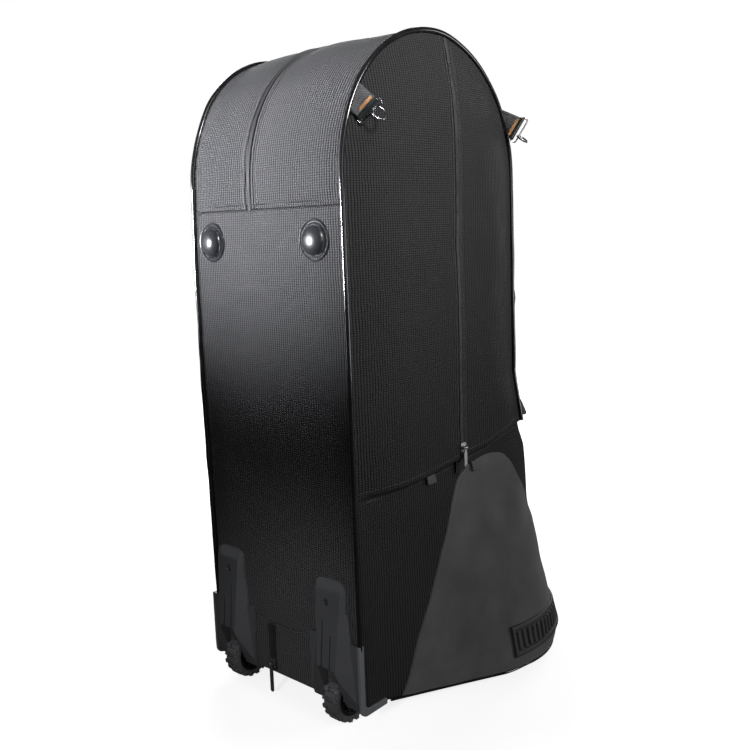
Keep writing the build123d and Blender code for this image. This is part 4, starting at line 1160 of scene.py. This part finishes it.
def edge_fold(name, heights, reaches):
    """A fold of webbing caught in the piping at the front right edge, in mm."""
    z = np.linspace(heights[0], heights[-1], 40) * MM
    reach = np.interp(z, np.array(heights) * MM, reaches) * MM
    Z, U = np.meshgrid(z, np.linspace(0, 1, 12), indexing="ij")
    corner = swell(at_x(SIDE + 0.5 * MM, np.stack([np.full(40, FRONT - 0.5 * MM), z], axis=1)))
    flat = corner[:, None] + (reach[:, None] * U)[..., None] * (0.55, 0.83, 0.0)
    thick = (1.5 * MM * np.sqrt(np.clip(1 - U**6, 0.02, 1)))[..., None] * (0.83, -0.55, 0.0)
    uv = np.stack([U * 16 * MM, Z], axis=-1)
    piece = padded_piece(name, flat + thick, flat - thick, uv, WEBBING, WEBBING, full=False)
    place(piece, "bag", "webbing", "edge_anchors")


edge_fold("edge_fold_high", (586, 592, 604, 616, 622), (2, 5.5, 7, 5.5, 2))
edge_fold("edge_fold_low", (409, 410.5, 414, 432, 446), (9, 13, 13, 8, 1))

# ---- CAD pieces that keep their shape


def soften(piece, width):
    """Rounds a CAD piece's edges for the light, without changing its mesh."""
    weld = piece.modifiers.new("weld", "WELD")
    weld.merge_threshold = 0.00002
    bevel = piece.modifiers.new("bevel", "BEVEL")
    bevel.width = width
    bevel.segments = 3
    bevel.limit_method = "ANGLE"
    bevel.angle_limit = math.radians(28)
    bevel.harden_normals = False
    bevel.use_clamp_overlap = True
    normals = piece.modifiers.new("normals", "WEIGHTED_NORMAL")
    normals.keep_sharp = True


# Each kind of piece: its nodes, its material and how far its edges are rounded, in mm
CAD_LOOKS = [
    ("wheel_housing_right wheel_housing_left", HOUSING, 1.4),
    ("corner_rail_right corner_rail_left", RAIL, 1.5),
    ("wheel_tyre_right wheel_tyre_left", TYRE, 0.7),
    ("wheel_hub_right wheel_hub_left", HUB, 0.6),
    ("wheel_axle_right wheel_axle_left", STEEL, 0.5),
    ("housing_screws housing_backing_plates", STEEL, 0.3),
    ("base_board", BOARD, 1.0),
    ("bell_ring_pad", FOAM, 4.0),
    ("interior_strap", WEBBING, 0.6),
    ("back_stiffener", BOARD, 0.5),
    ("foot_backing_discs", DOME, 0.4),
    ("strap_frame_rear strap_frame_front strap_ring_rear strap_ring_front", WIRE, 0),
    ("main_zip_slider pocket_zip_slider kick_zip_slider", ZIP_METAL, 0.5),
    ("main_zip_puller pocket_zip_puller kick_zip_puller", ZIP_METAL, 0.3),
]
for names, material, width in CAD_LOOKS:
    for piece in (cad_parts[node] for node in names.split()):
        piece.data.materials.clear()
        piece.data.materials.append(material)
        piece.data.polygons.foreach_set("use_smooth", np.ones(len(piece.data.polygons), bool))
        if width:
            soften(piece, width * MM)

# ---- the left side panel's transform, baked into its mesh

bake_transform(side_left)

# ---- floor, light and camera


def pale_floor():
    """A floor that is plain white to the eye, apart from soft shade close to what stands on it:
    partly real shadow, partly a painted glow for camera rays that is weaker near the middle.
    """
    n = Nodes("pale_floor")
    paths = n.add("ShaderNodeLightPath")
    _, spot = n.spread()
    measure = n.add("ShaderNodeVectorMath", operation="LENGTH")
    n.put(spot, measure.inputs[0])
    # Painted shade: camera rays see the floor glow, weaker near the middle and full beyond about 1.1
    # m, so the floor round the bag looks darker.
    far = n.span(measure.outputs["Value"], 0.35, 1.1, 0.8, 1.05)
    glow = n.math("MULTIPLY", paths.outputs["Is Camera Ray"], far)
    n.put(glow, n.shader.inputs["Emission Strength"])
    shade = n.ramp(paths.outputs["Is Camera Ray"], 0, 1, (0.12, 0.12, 0.12), (0.86, 0.86, 0.86))
    return n.finish(shade, 0.9, Emission_Color=(1, 1, 1, 1), Specular_IOR_Level=0.1)


corners = [(-9, -9, 0), (9, -9, 0), (9, 9, 0), (-9, 9, 0)]
floor = make_object("floor", corners, [(0, 1, 2, 3)], [pale_floor()])
floor.location.z = -0.0005


def add_light(kind, name, location, target, power, colour=(1, 1, 1), **settings):
    """Puts a light in place, turned towards a point."""
    data = bpy.data.lights.new(name, kind)
    data.energy = power
    data.color = colour
    for key, value in settings.items():
        setattr(data, key, value)
    light = bpy.data.objects.new(name, data)
    light.location = location
    light.rotation_mode = "QUATERNION"
    light.rotation_quaternion = (Vector(target) - Vector(location)).to_track_quat("-Z", "Y")
    bpy.context.scene.collection.objects.link(light)


def area_light(name, location, target, size, power, colour=(1, 1, 1)):
    """A soft rectangular light aimed at a point."""
    add_light("AREA", name, location, target, power, colour, shape="RECTANGLE", size=size[0],
              size_y=size[1])


def spot_light(name, location, target, cone, radius, power, colour=(1, 1, 1)):
    """A round light that fades out towards the rim of its cone."""
    add_light("SPOT", name, location, target, power, colour, spot_size=math.radians(cone),
              spot_blend=1.0, shadow_soft_size=radius)


COOL = (0.95, 0.97, 1.0)
spot_light("arch_spot", (-0.85, BACK - 1.3, 0.68), (-0.04, BACK, 0.845), 27, 0.12, 400,
           (0.96, 0.97, 1.0))
area_light("rim", (-1.5, -1.75, 0.95), (0, BACK, 0.7), (0.1, 1.1), 1.6, COOL)
spot_light("side_spot", (2.0, -0.3, 2.0), (SIDE, BACK + 0.09, 1.02), 30, 0.3, 290)
area_light("side", (2.1, -0.6, 0.9), (SIDE, 0.05, 0.25), (0.7, 0.7), 4.5)
area_light("bell", (1.5, 1.1, 0.5), (0.2, 0.12, 0.15), (0.6, 0.6), 7)
area_light("far_left", (-2.0, 1.5, 1.4), (-SIDE, 0, 0.5), (1.2, 1.2), 26)
area_light("far_front", (-0.5, 2.7, 1.2), (0, FRONT, 0.5), (1.2, 1.2), 16)
spot_light("wheel_spot", (0.75, -1.7, 0.75), (0.06, BACK, 0.1), 19, 0.1, 32)
area_light("top", (0.1, -0.2, 3.2), (0, 0, 0), (2.4, 2.4), 1.5)

world = bpy.data.worlds.new("studio")
world.use_nodes = True
bpy.context.scene.world = world
links, nodes = world.node_tree.links, world.node_tree.nodes
sky = nodes["Background"]
paths = nodes.new("ShaderNodeLightPath")
level = nodes.new("ShaderNodeMapRange")
links.new(paths.outputs["Is Camera Ray"], level.inputs["Value"])
level.inputs["To Min"].default_value = 0.02
level.inputs["To Max"].default_value = 1.0
links.new(level.outputs[0], sky.inputs["Strength"])
sky.inputs["Color"].default_value = (1, 1, 1, 1)

CAMERA_PLACE = Vector((1.078, BACK - 0.900, 0.725))
CAMERA_TURN = math.radians(43.8)
CAMERA_DIP = math.radians(8.8)
CAMERA_ROLL = math.radians(-2.0)
CAMERA_LENS = 45.6
level_ahead = Vector((-math.sin(CAMERA_TURN), math.cos(CAMERA_TURN), 0))
forward = level_ahead * math.cos(CAMERA_DIP) - Vector((0, 0, math.sin(CAMERA_DIP)))
level_right = Vector((math.cos(CAMERA_TURN), math.sin(CAMERA_TURN), 0))
level_up = level_right.cross(forward)
right = level_right * math.cos(CAMERA_ROLL) + level_up * math.sin(CAMERA_ROLL)
up = level_up * math.cos(CAMERA_ROLL) - level_right * math.sin(CAMERA_ROLL)
camera_data = bpy.data.cameras.new("camera")
camera_data.sensor_width = 36
camera_data.lens = CAMERA_LENS
camera = bpy.data.objects.new("camera", camera_data)
camera.matrix_world = Matrix((right, up, -forward)).transposed().to_4x4()
camera.location = CAMERA_PLACE
bpy.context.scene.collection.objects.link(camera)
bpy.context.scene.camera = camera
bpy.context.scene.view_settings.view_transform = "Standard"

bpy.context.view_layer.update()
